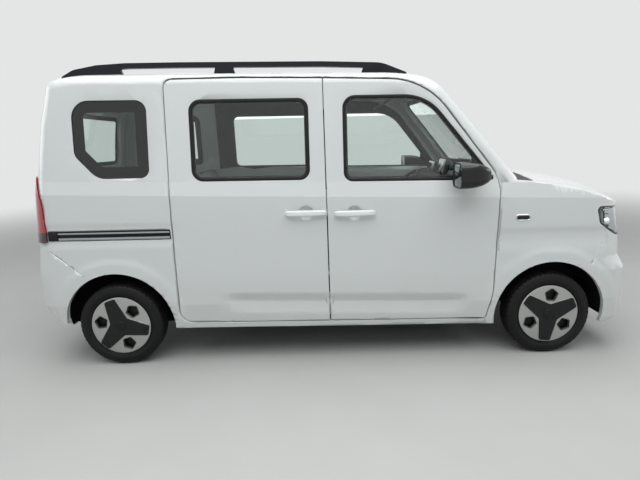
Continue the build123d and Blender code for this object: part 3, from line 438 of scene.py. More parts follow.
# Window rubbers and frit: the front and sliding windows sit in black rubber frames, and the bonded panes
# have a baked black border. Each is carried round its window's rounded outline, on the pane's own curve.
def rounded_path(points, radii, inset=0.0, arc=9, side=6):
    """A closed outline with rounded corners, drawn in by the inset: the inner corner lies where the two
    shifted sides meet, and its arc, radius less inset, starts a tangent length from it. Every inset has
    as many points."""
    corners = np.asarray(points, float)
    ahead = np.roll(corners, -1, 0) - corners
    ahead /= np.linalg.norm(ahead, axis=1, keepdims=True)
    behind = np.roll(ahead, 1, 0)
    following = np.roll(corners, -1, 0)
    turn_sign = np.sign(np.sum(corners[:, 0] * following[:, 1] - following[:, 0] * corners[:, 1]))
    inward_behind = turn_sign * np.stack([-behind[:, 1], behind[:, 0]], 1)
    inward_ahead = turn_sign * np.stack([-ahead[:, 1], ahead[:, 0]], 1)
    share = 1 + np.sum(inward_behind * inward_ahead, 1, keepdims=True)
    inner = corners + inset * (inward_behind + inward_ahead) / share
    turn = np.arctan2(behind[:, 0] * ahead[:, 1] - behind[:, 1] * ahead[:, 0], np.sum(behind * ahead, 1))
    bulge = np.where(turn * turn_sign > 0, 1.0, -1.0)
    radius = np.maximum(np.asarray(radii, float) - bulge * inset, 0.0005)
    start = inner - behind * (radius * np.tan(np.abs(turn) / 2))[:, None]
    centre = start + bulge[:, None] * inward_behind * radius[:, None]
    angle = turn[:, None] * np.linspace(0, 1, arc)[None, :]
    spoke = start - centre
    arcs = np.stack([spoke[:, 0:1] * np.cos(angle) - spoke[:, 1:2] * np.sin(angle),
                     spoke[:, 0:1] * np.sin(angle) + spoke[:, 1:2] * np.cos(angle)], 2) + centre[:, None, :]
    along = np.linspace(0, 1, side + 2)[1:-1]
    next_start = np.roll(start, -1, 0)
    sides = arcs[:, -1:, :] + (next_start[:, None, :] - arcs[:, -1:, :]) * along[None, :, None]
    return np.concatenate([arcs, sides], 1).reshape(-1, 2)


def pane_fit(name, side, across, along):
    """A pane's outer face as a quadratic of two coordinates, fitted to its points further out."""
    points = vectors(cad[name].data.vertices, "co")
    if side:
        points = points[points[:, 1] * side > 0]
    a, b = points[:, along[0]], points[:, along[1]]
    value = np.abs(points[:, across])
    terms = np.stack([np.ones_like(a), a, b, a * a, a * b, b * b], 1)
    outer = value > terms @ np.linalg.lstsq(terms, value, rcond=None)[0]
    fit = np.linalg.lstsq(terms[outer], value[outer], rcond=None)[0]
    return lambda a, b: fit[0] + fit[1] * a + fit[2] * b + fit[3] * a * a + fit[4] * a * b + fit[5] * b * b


def window_ring(name, pane, side, window, profile, material, body):
    """A closed frame round a side window: each profile point is an inset and a height over the pane."""
    depth = pane_fit(pane, side, 1, (0, 2))
    rows = []
    for inset, height in profile:
        path = rounded_path(*window, inset)
        rows.append(np.stack([path[:, 0], side * (depth(path[:, 0], path[:, 1]) + height), path[:, 1]], 1))
    return loft(name, rows, material, body, ring=True)


def hazed(name, colour, metallic, grain, rough_low, rough_high, detail=2.0):
    """A smooth finish whose roughness wanders a little, so that its reflections aren't perfect."""
    made = blank(name)
    where = {"Vector": add(made, "ShaderNodeTexCoord").outputs["Object"]}
    haze = add(made, "ShaderNodeTexNoise", {"Scale": grain, "Detail": detail}, where)
    rough = add(made, "ShaderNodeMapRange", {"To Min": rough_low, "To Max": rough_high},
                {"Value": haze.outputs["Fac"]})
    skin = add(made, "ShaderNodeBsdfPrincipled", {"Base Color": linear(colour), "Metallic": metallic},
               {"Roughness": rough.outputs["Result"]})
    add(made, "ShaderNodeOutputMaterial", links={"Surface": skin.outputs["BSDF"]})
    return made


# Moulded rubber gives a soft sheen; black ceramic baked into the glass is dense and glossy
rubber_black = satin("rubber_window_moulded", "0A0B0C", 0.42, grain=1500.0, depth=0.1)
frit_black = hazed("ceramic_frit_black", "060708", 0.0, 1200.0, 0.12, 0.2, detail=1.0)
window_sill = 1.31
for door in doors:
    door.data.materials.append(rubber_black)
    x, y, z = vectors(door.data.polygons, "center").T
    facing = vectors(door.data.polygons, "normal")[:, 1]
    inside = (facing * np.sign(y) < 0.35) & (np.abs(y) < side_distance(x, z) - 0.006) & (z > window_sill)
    door.data.polygons.foreach_set("material_index", inside.astype(np.int32))

front_window = mm((83, 1838), (642, 1832), (1104, 1260), (83, 1277)), mm(82, 320, 14, 62)
sliding_window = mm((-933, 1838), (-141, 1829), (-141, 1294), (-933, 1304)), mm(78, 70, 70, 78)
quarter_window = (mm((-1711, 1852), (-1209, 1844), (-1216, 1336), (-1565, 1338), (-1711, 1495)),
                  mm(115, 75, 62, 130, 90))
frame_profile = mm((0.4, -2.0), (0.4, 2.2), (2.5, 3.4), (13, 3.4), (20, 1.8), (22, 0.2), (22, -1.0))
edge_profile = mm((0.4, -2.0), (0.4, 2.0), (2.0, 2.4), (5.0, 1.0), (5.0, -1.0))
inner_profile = mm((18.4, -5.0), (31, -5.0), (31, -9.0), (26, -28), (18.4, -28))
band_profile = mm((1.5, -3.2), (1.5, -4.0), (78, -4.0), (78, -3.2))
for side, hand in both_sides:
    door_pane, door = "front_door_glass_" + hand, hand + "_front_door"
    for name, pane, window, profile, material, body in (
            ("front_window_rubber_", door_pane, front_window, frame_profile, rubber_black, door),
            ("sliding_window_rubber_", "sliding_door_glass", sliding_window, frame_profile * (1.15, 1),
             rubber_black, "body"),
            ("front_window_inner_rubber_", door_pane, front_window, inner_profile, rubber_black, door),
            ("sliding_window_inner_rubber_", "sliding_door_glass", sliding_window, inner_profile,
             rubber_black, "body"),
            ("quarter_window_edge_", "quarter_glass", quarter_window, edge_profile, rubber_black, "body"),
            ("quarter_window_frit_", "quarter_glass", quarter_window, band_profile, frit_black, "body")):
        window_ring(name + hand, pane, side, window, profile, material, body)

screen_outline = mm((-624, 1898), (624, 1898), (726, 1306), (-726, 1306)), mm(90, 90, 60, 60)
rear_outline = mm((-576, 1374), (576, 1374), (538, 1826), (-538, 1826)), mm(70, 70, 70, 70)
for pane, facing, outline in (("windscreen", 1, screen_outline), ("tailgate_glass", -1, rear_outline)):
    depth = pane_fit(pane, 0, 0, (1, 2))
    rows = []
    for inset, height in mm((4, -6.5), (4, -7.3), (48, -7.3), (48, -6.5)):
        path = rounded_path(*outline, inset, side=16)
        rows.append(np.stack([facing * (depth(path[:, 0], path[:, 1]) + height), path[:, 0], path[:, 1]], 1))
    loft(pane + "_frit", rows, frit_black, body_of_node[pane], ring=True)


# Seals: hollow rubber sections pressed on the body's flanges round the doors and the bonnet, which show
# as the dark line in the gaps.
def surface_of(name):
    """A search tree of a node's mesh."""
    mesh = cad[name].data
    return BVHTree.FromPolygons([v.co for v in mesh.vertices], [p.vertices for p in mesh.polygons])


def landed(tree, starts, direction):
    """Where rays from the given points meet the surface; a ray that misses keeps its neighbour's place."""
    found = []
    for start in starts:
        hit = tree.ray_cast(Vector(start), Vector(direction))[0]
        found.append(tuple(hit) if hit is not None else (found[-1] if found else tuple(start)))
    return np.array(found)


door_openings = {
    "front_door": (mm((-43, 1953), (631, 1926), (1137, 1265), (1117, 470), (1077, 277), (-28, 291)),
                   mm(6, 500, 290, 480, 14, 6)),
    "sliding_door": (mm((-1090, 1971), (-582, 1969), (-43, 1953), (-28, 291), (-1092, 306)),
                     mm(58, 0.5, 6, 6, 92))}
seal_profile = mm((-2.6, 0.2), (-2.6, 1.4), (3, 2.2), (6, 4.0), (11, 4.0), (14, 2.0), (14, 0.2))
outside_y = 0.95
for side, hand in both_sides:
    flange = surface_of("body_side_" + hand)
    for opening, outline in door_openings.items():
        rows = []
        for inset, height in seal_profile:
            path = rounded_path(*outline, inset)
            starts = np.stack([path[:, 0], np.full(len(path), side * outside_y), path[:, 1]], 1)
            rows.append(landed(flange, starts, (0, -side, 0)) + (0, side * height, 0))
        loft(f"{opening}_seal_{hand}", rows, rubber_black, "body", ring=True)

bonnet_edge = (mm((1392, 738), (1640, 730), (1950, 694), (2062, 560), (2086, 0), (2062, -560), (1950, -694),
                  (1640, -730), (1392, -738)),
               mm(20, 500, 150, 200, 900, 200, 150, 500, 20))
lid = surface_of("bonnet")
path = rounded_path(*bonnet_edge, 0.014)
height = landed(lid, np.column_stack([path, np.full(len(path), 2.0)]), (0, 0, -1))[:, 2]
rows = [np.column_stack([rounded_path(*bonnet_edge, inset), height - drop])
        for inset, drop in mm((-5.5, 23), (-5.5, 15), (0, 14), (8, 14), (8, 23))]
loft("bonnet_seal", rows, rubber_black, "body", ring=True)


# Cowl, roof rails and sliding-door rails: black plastic mouldings, clipped and screwed to the body. Each
# door rail is a black channel whose two lips are bare aluminium, between a black end cap and the door.
plastic_black = satin("plastic_black_textured", "101216", 0.5, grain=1100.0, depth=0.2)
rail_black = satin("coat_rail_black", "10131A", 0.38, grain=1100.0, depth=0.08)
rail_aluminium = satin("aluminium_anodised", "A9AEB0", 0.35, metallic=0.9, grain=900.0, depth=0.03)
dressed("cowl_panel", plastic_black)
dressed("roof_rails", rail_black)
dressed("door_slide_rails", plastic_black)


def side_strip(name, side, x_span, z_low, z_high, stand, material):
    """A long strip on the side's skin between two level lines: a closed profile carried along x."""
    slope, sink, edge, round_over = -0.006, 0.002, 0.0006, 0.0004
    x = np.linspace(x_span[0], x_span[1], 30)
    rows = []
    for level, height in ((z_low, -sink), (z_low, stand - round_over), (z_low + edge, stand),
                          (z_high - edge, stand), (z_high, stand - round_over), (z_high, -sink)):
        z = level + slope * (x - x_span[0])
        rows.append(np.stack([x, side * (side_distance(x, z) + height), z], 1))
    return loft(name, np.array(rows).transpose(1, 0, 2), material, "body")


rail_span, cap_span = (-1.876, -1.112), (-1.944, -1.878)
for side, hand in both_sides:
    side_strip("slide_rail_lip_upper_" + hand, side, rail_span, 0.9690, 0.9795, -0.0012, rail_aluminium)
    side_strip("slide_rail_lip_lower_" + hand, side, rail_span, 0.9290, 0.9440, -0.0012, rail_aluminium)
    side_strip("slide_rail_cap_" + hand, side, cap_span, 0.9275, 0.9885, 0.0015, plastic_black)


# Door mirrors: gloss black shells on black sails, with silvered glass set in from behind, its silver darkened
# to a mid grey as painted shade in its reflection.
def gloss_plastic(name, colour, roughness):
    """Glossy moulded ABS: a clear coat over black, with a faint wave in the surface."""
    made = blank(name)
    where = {"Vector": add(made, "ShaderNodeTexCoord").outputs["Object"]}
    wave = add(made, "ShaderNodeTexNoise", {"Scale": 60.0, "Detail": 2.0}, where)
    bump = add(made, "ShaderNodeBump", {"Strength": 0.02, "Distance": 0.001}, {"Height": wave.outputs["Fac"]})
    skin = add(made, "ShaderNodeBsdfPrincipled",
               {"Base Color": linear(colour), "Roughness": roughness, "Specular IOR Level": 0.2,
                "Coat Weight": 0.55, "Coat Roughness": 0.02}, {"Normal": bump.outputs["Normal"]})
    add(made, "ShaderNodeOutputMaterial", links={"Surface": skin.outputs["BSDF"]})
    return made


def plate_piece(name, outline, profile, carry, material, body):
    """A plate with a shaped edge: its outline is drawn in step by step to the heights of the profile, and
    carry takes the plane's two coordinates and a height into space."""
    rows = [carry(rounded_path(*outline, inset), height) for inset, height in profile]
    return loft(name, rows, material, body)


def box_outline(centre, half_width, half_height, radius):
    """An upright rectangle with equal rounded corners."""
    corners = [(centre[0] + a * half_width, centre[1] + b * half_height)
               for a, b in ((-1, -1), (1, -1), (1, 1), (-1, 1))]
    return np.array(corners), [radius] * 4


def crossways(path, height):
    """Carries an outline in y and z to a place along x."""
    return np.stack([np.full(len(path), height), path[:, 0], path[:, 1]], 1)


gloss_black = gloss_plastic("abs_gloss_black", "07080A", 0.25)
# Silvered glass in a mid-grey metal, darker than real silvering: painted shade that dims its reflections,
# almost free of blur
silver_painted_shade = hazed("glass_silvered_painted_shade", "7C8286", 1.0, 30.0, 0.01, 0.04)
for side, hand in both_sides:
    dressed("door_mirror_" + hand, gloss_black)
    # The mirror glass takes the darkened silver: painted shade in place of its bright reflection.
    plate_piece("mirror_glass_" + hand, box_outline((side * 0.962, 1.306), 0.0855, 0.0695, 0.037),
                mm((0, 803.8), (0, 801.2), (2, 800.2)), crossways, silver_painted_shade, hand + "_front_door")


# Headlamps: a clear moulded cover over a dark bowl, clipped in under the fender and bonnet edges, with a
# bright chrome brow along its top, stepped fins in the darkened silver as painted shade, and a round
# projector that looks forwards.
def turned(name, profile, centre, axis, material, body, segments=48):
    """A turned piece: profile points of radius and reach along the axis, carried round it."""
    axis = np.asarray(axis, float) / np.linalg.norm(axis)
    across = np.cross(axis, (0.0, 0.0, 1.0) if abs(axis[2]) < 0.9 else (1.0, 0.0, 0.0))
    across /= np.linalg.norm(across)
    up = np.cross(axis, across)
    angle = np.linspace(0, 2 * np.pi, segments, endpoint=False)
    spoke = np.cos(angle)[:, None] * across + np.sin(angle)[:, None] * up
    grid = np.asarray(centre) + profile[:, 1, None, None] * axis + profile[:, 0, None, None] * spoke[None]
    return loft(name, grid, material, body)


# Bright chrome on plastic, with a trace of haze
chrome = hazed("chrome_plated", "DADCDC", 1.0, 80.0, 0.08, 0.16)
lens_clear = clear_glass("acrylic_lens_clear", "F4F7F7", 1.15)
bowl_black = gloss_plastic("plastic_lamp_bowl", "0B0C0E", 0.3)
dressed("headlamp_lenses", lens_clear, squared)
dressed("headlamp_bowls", bowl_black, squared)
lamp_cover = surface_of("headlamp_lenses")
turn, fin_side_limit = np.radians(np.linspace(-84, 4, 40)), math.radians(-24)
lamp_x, lamp_y = 1.80, 0.56
for side, hand in both_sides:
    heading = np.stack([np.cos(turn), -side * np.sin(turn), np.zeros(len(turn))], 1)
    # Level, reach inwards, distance behind the cover and thickness of the brow and the three fins
    for fin, (level, reach, near, thick) in enumerate(mm((1033, 12, 3, 12), (1004, 30, 16, 6),
                                                         (976, 30, 22, 6), (948, 30, 28, 6))):
        middle = Vector((lamp_x, side * lamp_y, level))
        hits = [lamp_cover.ray_cast(middle, Vector(way))[0] for way in heading]
        kept = [i for i, hit in enumerate(hits)
                if hit is not None and (fin == 0 or turn[i] > fin_side_limit)][2:-2]
        points, ways = np.array([tuple(hits[i]) for i in kept]), heading[kept]
        section = ((near, 0), (near + 0.001, thick / 2), (near + reach, thick / 2 + 0.002),
                   (near + reach, -thick / 2), (near + 0.001, -thick / 2))
        grid = np.stack([points - ways * back + (0, 0, lift) for back, lift in section], 1)
        grid[:, :, 0] += corner_shift(grid.reshape(-1, 3)).reshape(grid.shape[:2])
        # The brow is chrome; the fins below it take the darkened silver, painted shade on their reflections.
        loft(f"headlamp_fin_{fin + 1}_{hand}", grid, silver_painted_shade if fin else chrome, "body")
    centre, axis = (2.005, side * 0.615, 0.912), (1, side * 0.18, 0)
    turned("headlamp_projector_" + hand,
           mm((30, -34), (34, -6), (36, 0), (33, 2), (30, 1), (26, 8), (17, 14), (7, 16.5), (1, 17)),
           centre, axis, lens_clear, "body")
    turned("headlamp_ring_" + hand, mm((36.5, -34), (37, 0), (40, 3), (43, 0), (44, -34)), centre, axis,
           chrome, "body")


# Side repeaters: a plated lozenge with a blank dark middle, clipped into each fender.
def on_side(side):
    """Carries an outline in x and z onto a side's skin with its pressings, standing out by the height."""
    def carried(path, height):
        x, z = path.T
        return np.stack([x, side * (side_distance(x, z) + pressing(x, z) + height), z], 1)
    return carried


for side, hand in both_sides:
    for name, drawn_in, radius, profile, material in (
            ("side_repeater_", 0, 0.021, mm((0, -1), (0, 2), (2, 4), (6, 4.4), (8, 3)), chrome),
            ("side_repeater_face_", 0.009, 0.0125, mm((0, 1), (0, 3.2), (3, 4.4), (7, 5.0)), bowl_black)):
        plate_piece(name + hand, box_outline((1.296, 1.001), 0.0525 - drawn_in, 0.0225 - drawn_in, radius),
                    profile, on_side(side), material, "body")


# Tail lamps: red moulded acrylic over ribbed reflectors, screwed into the corners and standing proud of
# them, with a smoked band below.
def red_lens():
    """Deep red moulded acrylic: glossy, with level ribs 7 mm apart that catch light."""
    made = blank("acrylic_lens_red")
    where = {"Vector": add(made, "ShaderNodeTexCoord").outputs["Object"]}
    rib = add(made, "ShaderNodeTexWave", {"Scale": 45.0, "Distortion": 0.0, "bands_direction": "Z"}, where)
    bump = add(made, "ShaderNodeBump", {"Strength": 0.25, "Distance": 0.001}, {"Height": rib.outputs["Fac"]})
    height = add(made, "ShaderNodeSeparateXYZ", links=where)
    smoked = add(made, "ShaderNodeMath", {"operation": "LESS_THAN", 1: 0.985}, {0: height.outputs["Z"]})
    tone = add(made, "ShaderNodeMix", {"data_type": "RGBA", 6: linear("A80F18"), 7: linear("3A070B")},
               {0: smoked.outputs[0]})
    skin = add(made, "ShaderNodeBsdfPrincipled",
               {"Roughness": 0.12, "Coat Weight": 1.0, "Coat Roughness": 0.02},
               {"Base Color": tone.outputs[2], "Normal": bump.outputs["Normal"]})
    add(made, "ShaderNodeOutputMaterial", links={"Surface": skin.outputs["BSDF"]})
    return made


lens_red = red_lens()
dressed("tail_lamps", lens_red)


# Wheels: silver-lacquered steel wheels bolted to the hubs, under a moulded disc with a black three-armed
# cover that stands proud of it and a plain cap in the middle; the disc's window lips are drawn darker grey as
# painted shade.
def spun(points, degrees):
    """Points of a plane turned about its origin."""
    sine, cosine = math.sin(math.radians(degrees)), math.cos(math.radians(degrees))
    return np.asarray(points) @ [[cosine, sine], [-sine, cosine]]


def on_wheel(centre, side, degrees):
    """Carries an outline in the wheel's plane to the wheel: turned about the axle, out by the height."""
    def carried(path, height):
        x, z = spun(path, degrees).T
        return np.stack([centre[0] + x, np.full(len(path), side * height), centre[1] + z], 1)
    return carried


# Silver lacquer: fine metal flake that gives a soft sparkle
silver = hazed("lacquer_silver_flake", "B4B5B2", 0.7, 900.0, 0.3, 0.42)
star_black = satin("plastic_star_black", "16191A", 0.42, grain=1400.0, depth=0.2)
# The window lips are the disc's silver; their darker grey is painted shade on the bevels that turn into the
# holes.
lip_painted_shade_grey = satin("lip_grey_painted_shade", "5B5E5E", 0.35, metallic=0.6, grain=900.0, depth=0.05)
cap_black = satin("plastic_cap_black", "0F1112", 0.25, grain=1400.0, depth=0.05)
wheel_bore = satin("steel_rim_black", "0E0F10", 0.5)
track_half, disc_edge, disc_face, dome = 0.742, 0.209, 0.073, 0.008
proud, rim_step, rim_edge = 0.0006, 0.008, 0.2095
pentagon = np.array([spun((0.050, 0), 72 * i) for i in range(5)]) + (0.140, 0)
arm = [(0.198, -0.037), (0.198, 0.037), spun((0.074, 0), 60)]
star = np.concatenate([spun(arm, 120 * i) for i in range(3)]), mm(*(14, 14, 30) * 3)
star_profile = mm((-0.5, 815.3), (-0.5, 826.4), (0.6, 828.2), (3.2, 829.2), (7, 829.2), (8, 828.6),
                  (12, 828.4))
cap_profile = mm((39, 827), (39, 831.5), (37.5, 833), (35, 832.4), (33, 832.8), (18, 834.4), (1, 835))
lip_profile = mm((-2.5, 818.0), (-1.5, 822.2), (0.5, 822.0), (7.5, 811), (7.5, 809), (-0.5, 809))
tip, slit = box_outline((0.172, 0), 0.012, 0.026, 0.009), box_outline((0.088, 0), 0.0135, 0.0035, 0.0034)
axles = {"front": (axle_x, axle_z), "rear": (-axle_x, axle_z)}
for end, star_turn in (("front", 25.0), ("rear", 108.6)):
    for side, hand in both_sides:
        wheel_name, place, centre = f"{end}_{hand}_wheel", f"{end}_{hand}", axles[end]
        body = body_of_node[wheel_name]
        wheel = dressed(wheel_name, silver)
        wheel.data.materials.append(star_black)
        wheel.data.materials.append(wheel_bore)
        x, y, z = vectors(wheel.data.polygons, "center").T
        radius, outwards = np.hypot(x - centre[0], z - centre[1]), np.abs(y) - track_half
        raised = outwards > disc_face + dome * (1 - (radius / disc_edge) ** 2) + proud
        deep = (outwards < disc_face - rim_step) | (radius > rim_edge)
        finish = np.where(raised, 1, np.where(deep, 2, 0))
        wheel.data.polygons.foreach_set("material_index", finish.astype(np.int32))
        plate_piece("wheel_star_" + place, star, star_profile, on_wheel(centre, side, star_turn),
                    star_black, body)
        turned("wheel_cap_" + place, cap_profile, (centre[0], 0, centre[1]), (0, side, 0), cap_black, body)
        for number in range(3):
            opening = on_wheel(centre, side, star_turn + 60 + 120 * number)
            rows = [opening(rounded_path(pentagon, [0.014] * 5, inset), height)
                    for inset, height in lip_profile]
            # Lips in the darker grey: painted shade on the bevels into the windows.
            loft(f"wheel_window_lip_{number + 1}_{place}", rows, lip_painted_shade_grey, body, ring=True)
            on_arm = on_wheel(centre, side, star_turn + 120 * number)
            plate_piece(f"wheel_star_tip_{number + 1}_{place}", tip, mm((0, 828.3), (0, 829.0), (1.5, 829.6)),
                        on_arm, cap_black, body)
            plate_piece(f"wheel_star_slit_{number + 1}_{place}", slit, mm((0, 828.2), (0, 828.9)), on_arm,
                        wheel_bore, body)


# Tyres: black rubber on the rims, with four grooves round the tread, slots across its shoulders and ribs,
# and bare sidewalls.
def tyre_rubber():
    """Vulcanised rubber: charcoal, dusty on the tread, with a fine grain."""
    made = blank("rubber_tyre_vulcanised")
    where = {"Vector": add(made, "ShaderNodeTexCoord").outputs["Object"]}
    dust = add(made, "ShaderNodeTexNoise", {"Scale": 14.0, "Detail": 5.0}, where)
    tone = add(made, "ShaderNodeMix", {"data_type": "RGBA", 6: linear("0F1010"), 7: linear("1E1E1D")},
               {0: dust.outputs["Fac"]})
    grain = add(made, "ShaderNodeTexNoise", {"Scale": 700.0}, where)
    bump = add(made, "ShaderNodeBump", {"Strength": 0.15, "Distance": 0.0005},
               {"Height": grain.outputs["Fac"]})
    skin = add(made, "ShaderNodeBsdfPrincipled", {"Roughness": 0.55, "Specular IOR Level": 0.2},
               {"Base Color": tone.outputs[2], "Normal": bump.outputs["Normal"]})
    add(made, "ShaderNodeOutputMaterial", links={"Surface": skin.outputs["BSDF"]})
    return made


tyre_black = tyre_rubber()
# Half of the tyre's section: distance from its middle, radius, and how deep the slots across it are, in mm
tyre_half = mm(
    (0, 297, 0), (11.5, 297, 0), (12, 290.5, 0), (19.5, 290.5, 0), (20, 297, 0), (23, 297, 2.5),
    (35.5, 297, 2.5), (36, 290.5, 0), (43, 290.5, 0), (43.5, 296.9, 0), (47, 296.8, 5.5), (54, 296.3, 5.5),
    (61, 294.4, 5.5), (67, 290, 4.5), (70.5, 285.5, 2), (72, 283, 0), (74.3, 279.5, 0), (74.8, 278.5, 0),
    (77.3, 273, 0), (77.6, 272, 0), (76.9, 271.4, 0), (78.6, 266, 0), (80.9, 258, 0), (82.1, 252, 0),
    (82.1, 247, 0), (80.8, 240, 0), (78.6, 234, 0), (77.9, 233.2, 0), (76.6, 230, 0), (74.9, 226.6, 0),
    (75.4, 225.4, 0), (74.6, 222.6, 0), (72.4, 220, 0), (69.5, 216.5, 0), (65.5, 213.4, 0), (62, 212.2, 0))
section = np.concatenate([tyre_half[::-1] * (-1, 1, 1), tyre_half[1:]])
around, slot_every = 300, 6
step, angle = np.arange(around), np.linspace(0, 2 * np.pi, around, endpoint=False)
slotted = np.where(section[:, 0:1] > 0, step % slot_every == 0, step % slot_every == slot_every // 2)
radius = section[:, 1:2] - slotted * section[:, 2:3]
for end, centre in axles.items():
    for side, hand in both_sides:
        node = f"{end}_{hand}_tyre"
        grid = np.stack([centre[0] + radius * np.cos(angle),
                         np.broadcast_to(side * track_half + section[:, 0:1], radius.shape),
                         centre[1] + radius * np.sin(angle)], 2)
        tyre = loft(node + "_rubber", grid, tyre_black, body_of_node[node], ring=True,
                    sharp=40)
        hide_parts(node)


# Cabin: a moulded dashboard bolted to the bulkhead, with its dials and screen, and the steering wheel.
dash_plastic = satin("plastic_dash_grained", "26282A", 0.55, grain=420.0, depth=0.35)
wheel_grip = satin("foam_grip_black", "141517", 0.5, grain=600.0, depth=0.25)
screen_black = gloss_plastic("glass_screen_black", "050608", 0.1)
dressed("dashboard", dash_plastic)
dressed("steering_wheel", wheel_grip)


def leaning(centre, lean):
    """Carries an outline in y and height up a face that looks backwards and leans by an angle."""
    sine, cosine = math.sin(math.radians(lean)), math.cos(math.radians(lean))
    return lambda path, height: np.stack(
        [centre[0] + path[:, 1] * sine - height * cosine, centre[1] + path[:, 0],
         centre[2] + path[:, 1] * cosine + height * sine], 1)


for name, centre, width, height in (("instrument_pod", (0.955, 0.37, 1.300), 0.125, 0.052),
                                    ("centre_screen", (0.950, 0.0, 1.310), 0.125, 0.075)):
    plate_piece(name, box_outline((0, 0), width, height, 0.03),
                mm((6, -30), (0, -26), (0, 4), (4, 8), (8, 6)), leaning(centre, 14), dash_plastic, "body")
    plate_piece(name + "_glass", box_outline((0, 0), width - 0.0085, height - 0.0085, 0.021),
                mm((0, 4), (0, 6.4), (1.5, 7)), leaning(centre, 14), screen_black, "body")


# Door trims: moulded black cards clipped to the front doors' inner faces, with a raised armrest.
def lengthways(start, sign):
    """Carries an outline in x and z to a place along y, and on by the height."""
    return lambda path, height: np.stack(
        [path[:, 0], np.full(len(path), start + sign * height), path[:, 1]], 1)


for side, hand in both_sides:
    for name, outline, profile in (
            ("door_trim_", (mm((30, 440), (800, 440), (830, 1190), (30, 1205)), mm(50, 80, 50, 40)),
             mm((3, 0), (0, 3), (0, 9), (4, 12), (12, 12.5))),
            ("door_armrest_", (mm((100, 800), (620, 800), (640, 865), (100, 865)), mm(25, 25, 25, 25)),
             mm((0, 12), (0, 34), (4, 40), (10, 42)))):
        plate_piece(name + hand, outline, profile, lengthways(side * 0.6675, -side), dash_plastic,
                    hand + "_front_door")


# Wipers: black pressed arms on pivots and rubber blades, parked along the foot of the windscreen and of
# the rear window.
def bar_along(name, path, widths, heights, up, material, body):
    """A bar of rectangular section with softened edges along a path: its half width and half height run
    evenly from the first value to the second."""
    ahead = np.gradient(path, axis=0)
    ahead /= np.linalg.norm(ahead, axis=1, keepdims=True)
    across = np.cross(ahead, up)
    across /= np.linalg.norm(across, axis=1, keepdims=True)
    corner = np.array([(-1, -0.6), (-0.7, -1), (0.7, -1), (1, -0.6),
                       (1, 0.6), (0.7, 1), (-0.7, 1), (-1, 0.6)])
    wide = np.linspace(*widths, len(path))[:, None, None] * corner[None, :, 0:1]
    high = np.linspace(*heights, len(path))[:, None, None] * corner[None, :, 1:2]
    return loft(name, path[:, None] + across[:, None] * wide + up * high, material, body,
                sharp=50)


def wiper(name, pane, out, body, pivot, blade_ends):
    """One wiper: a blade along the pane between two points given as y and z, and an arm that rises from its
    pivot and runs to the blade's middle."""
    clear_of_pane, blade_lift, arm_lift = 2.6, 0.0085, 0.021
    out = np.asarray(out, float) / np.linalg.norm(out)
    sign = math.copysign(1.0, out[0])
    blade = np.linspace(*blade_ends, 14)
    starts = np.column_stack([np.full(len(blade), sign * clear_of_pane), blade])
    foot = landed(surface_of(pane), starts, (-sign, 0, 0))
    bar_along(name + "_blade", foot + out * blade_lift, (0.0035, 0.0035), (0.0075, 0.0075), out,
              rubber_black, body)
    pivot, middle = np.asarray(pivot, float), foot[len(foot) // 2] + out * arm_lift
    knots = np.array([pivot + out * 0.012, pivot * 0.8 + middle * 0.2 + out * 0.014, middle])
    arm_path = np.stack([np.interp(np.linspace(0, 2, 12), range(3), values) for values in knots.T], 1)
    bar_along(name + "_arm", arm_path, (0.012, 0.006), (0.006, 0.0035), out, plastic_black, body)
    turned(name + "_pivot", mm((15, -8), (15, 6), (13, 18), (9, 21), (1, 22)), pivot, out, plastic_black,
           body, segments=24)


screen_out, rear_out = (0.759, 0, 0.651), (-0.98, 0, 0.2)
wiper("wiper_left", "windscreen", screen_out, "body", (1.318, 0.58, 1.262), ((0.46, 1.352), (-0.08, 1.342)))
wiper("wiper_right", "windscreen", screen_out, "body", (1.335, 0.02, 1.292), ((-0.10, 1.352), (-0.60, 1.342)))
wiper("wiper_rear", "tailgate_glass", rear_out, "tailgate", (-2.038, 0.0, 1.342),
      ((0.10, 1.412), (0.46, 1.412)))


# Tailgate and bumper trim: a black moulded bar clipped on over the plate's recess, which stays bare, and
# red reflectors low on the rear bumper.
def on_rear(name):
    """Carries an outline in y and z along x onto a node's rear face, standing out by the height."""
    tree, behind_van = surface_of(name), -2.8
    return lambda path, height: landed(tree, crossways(path, behind_van), (1, 0, 0)) - (height, 0, 0)


plate_piece("plate_lamp_bar", box_outline((0, 1.034), 0.29, 0.017, 0.016),
            mm((0, -3), (0, 12), (4, 18), (10, 19)), on_rear("tailgate"), gloss_black, "tailgate")
for side, hand in both_sides:
    plate_piece("rear_reflector_" + hand, box_outline((side * 0.585, 0.505), 0.055, 0.016, 0.015),
                mm((0, -3), (0, 5), (3, 8), (8, 9)), on_rear("rear_bumper"), lens_red, "body")


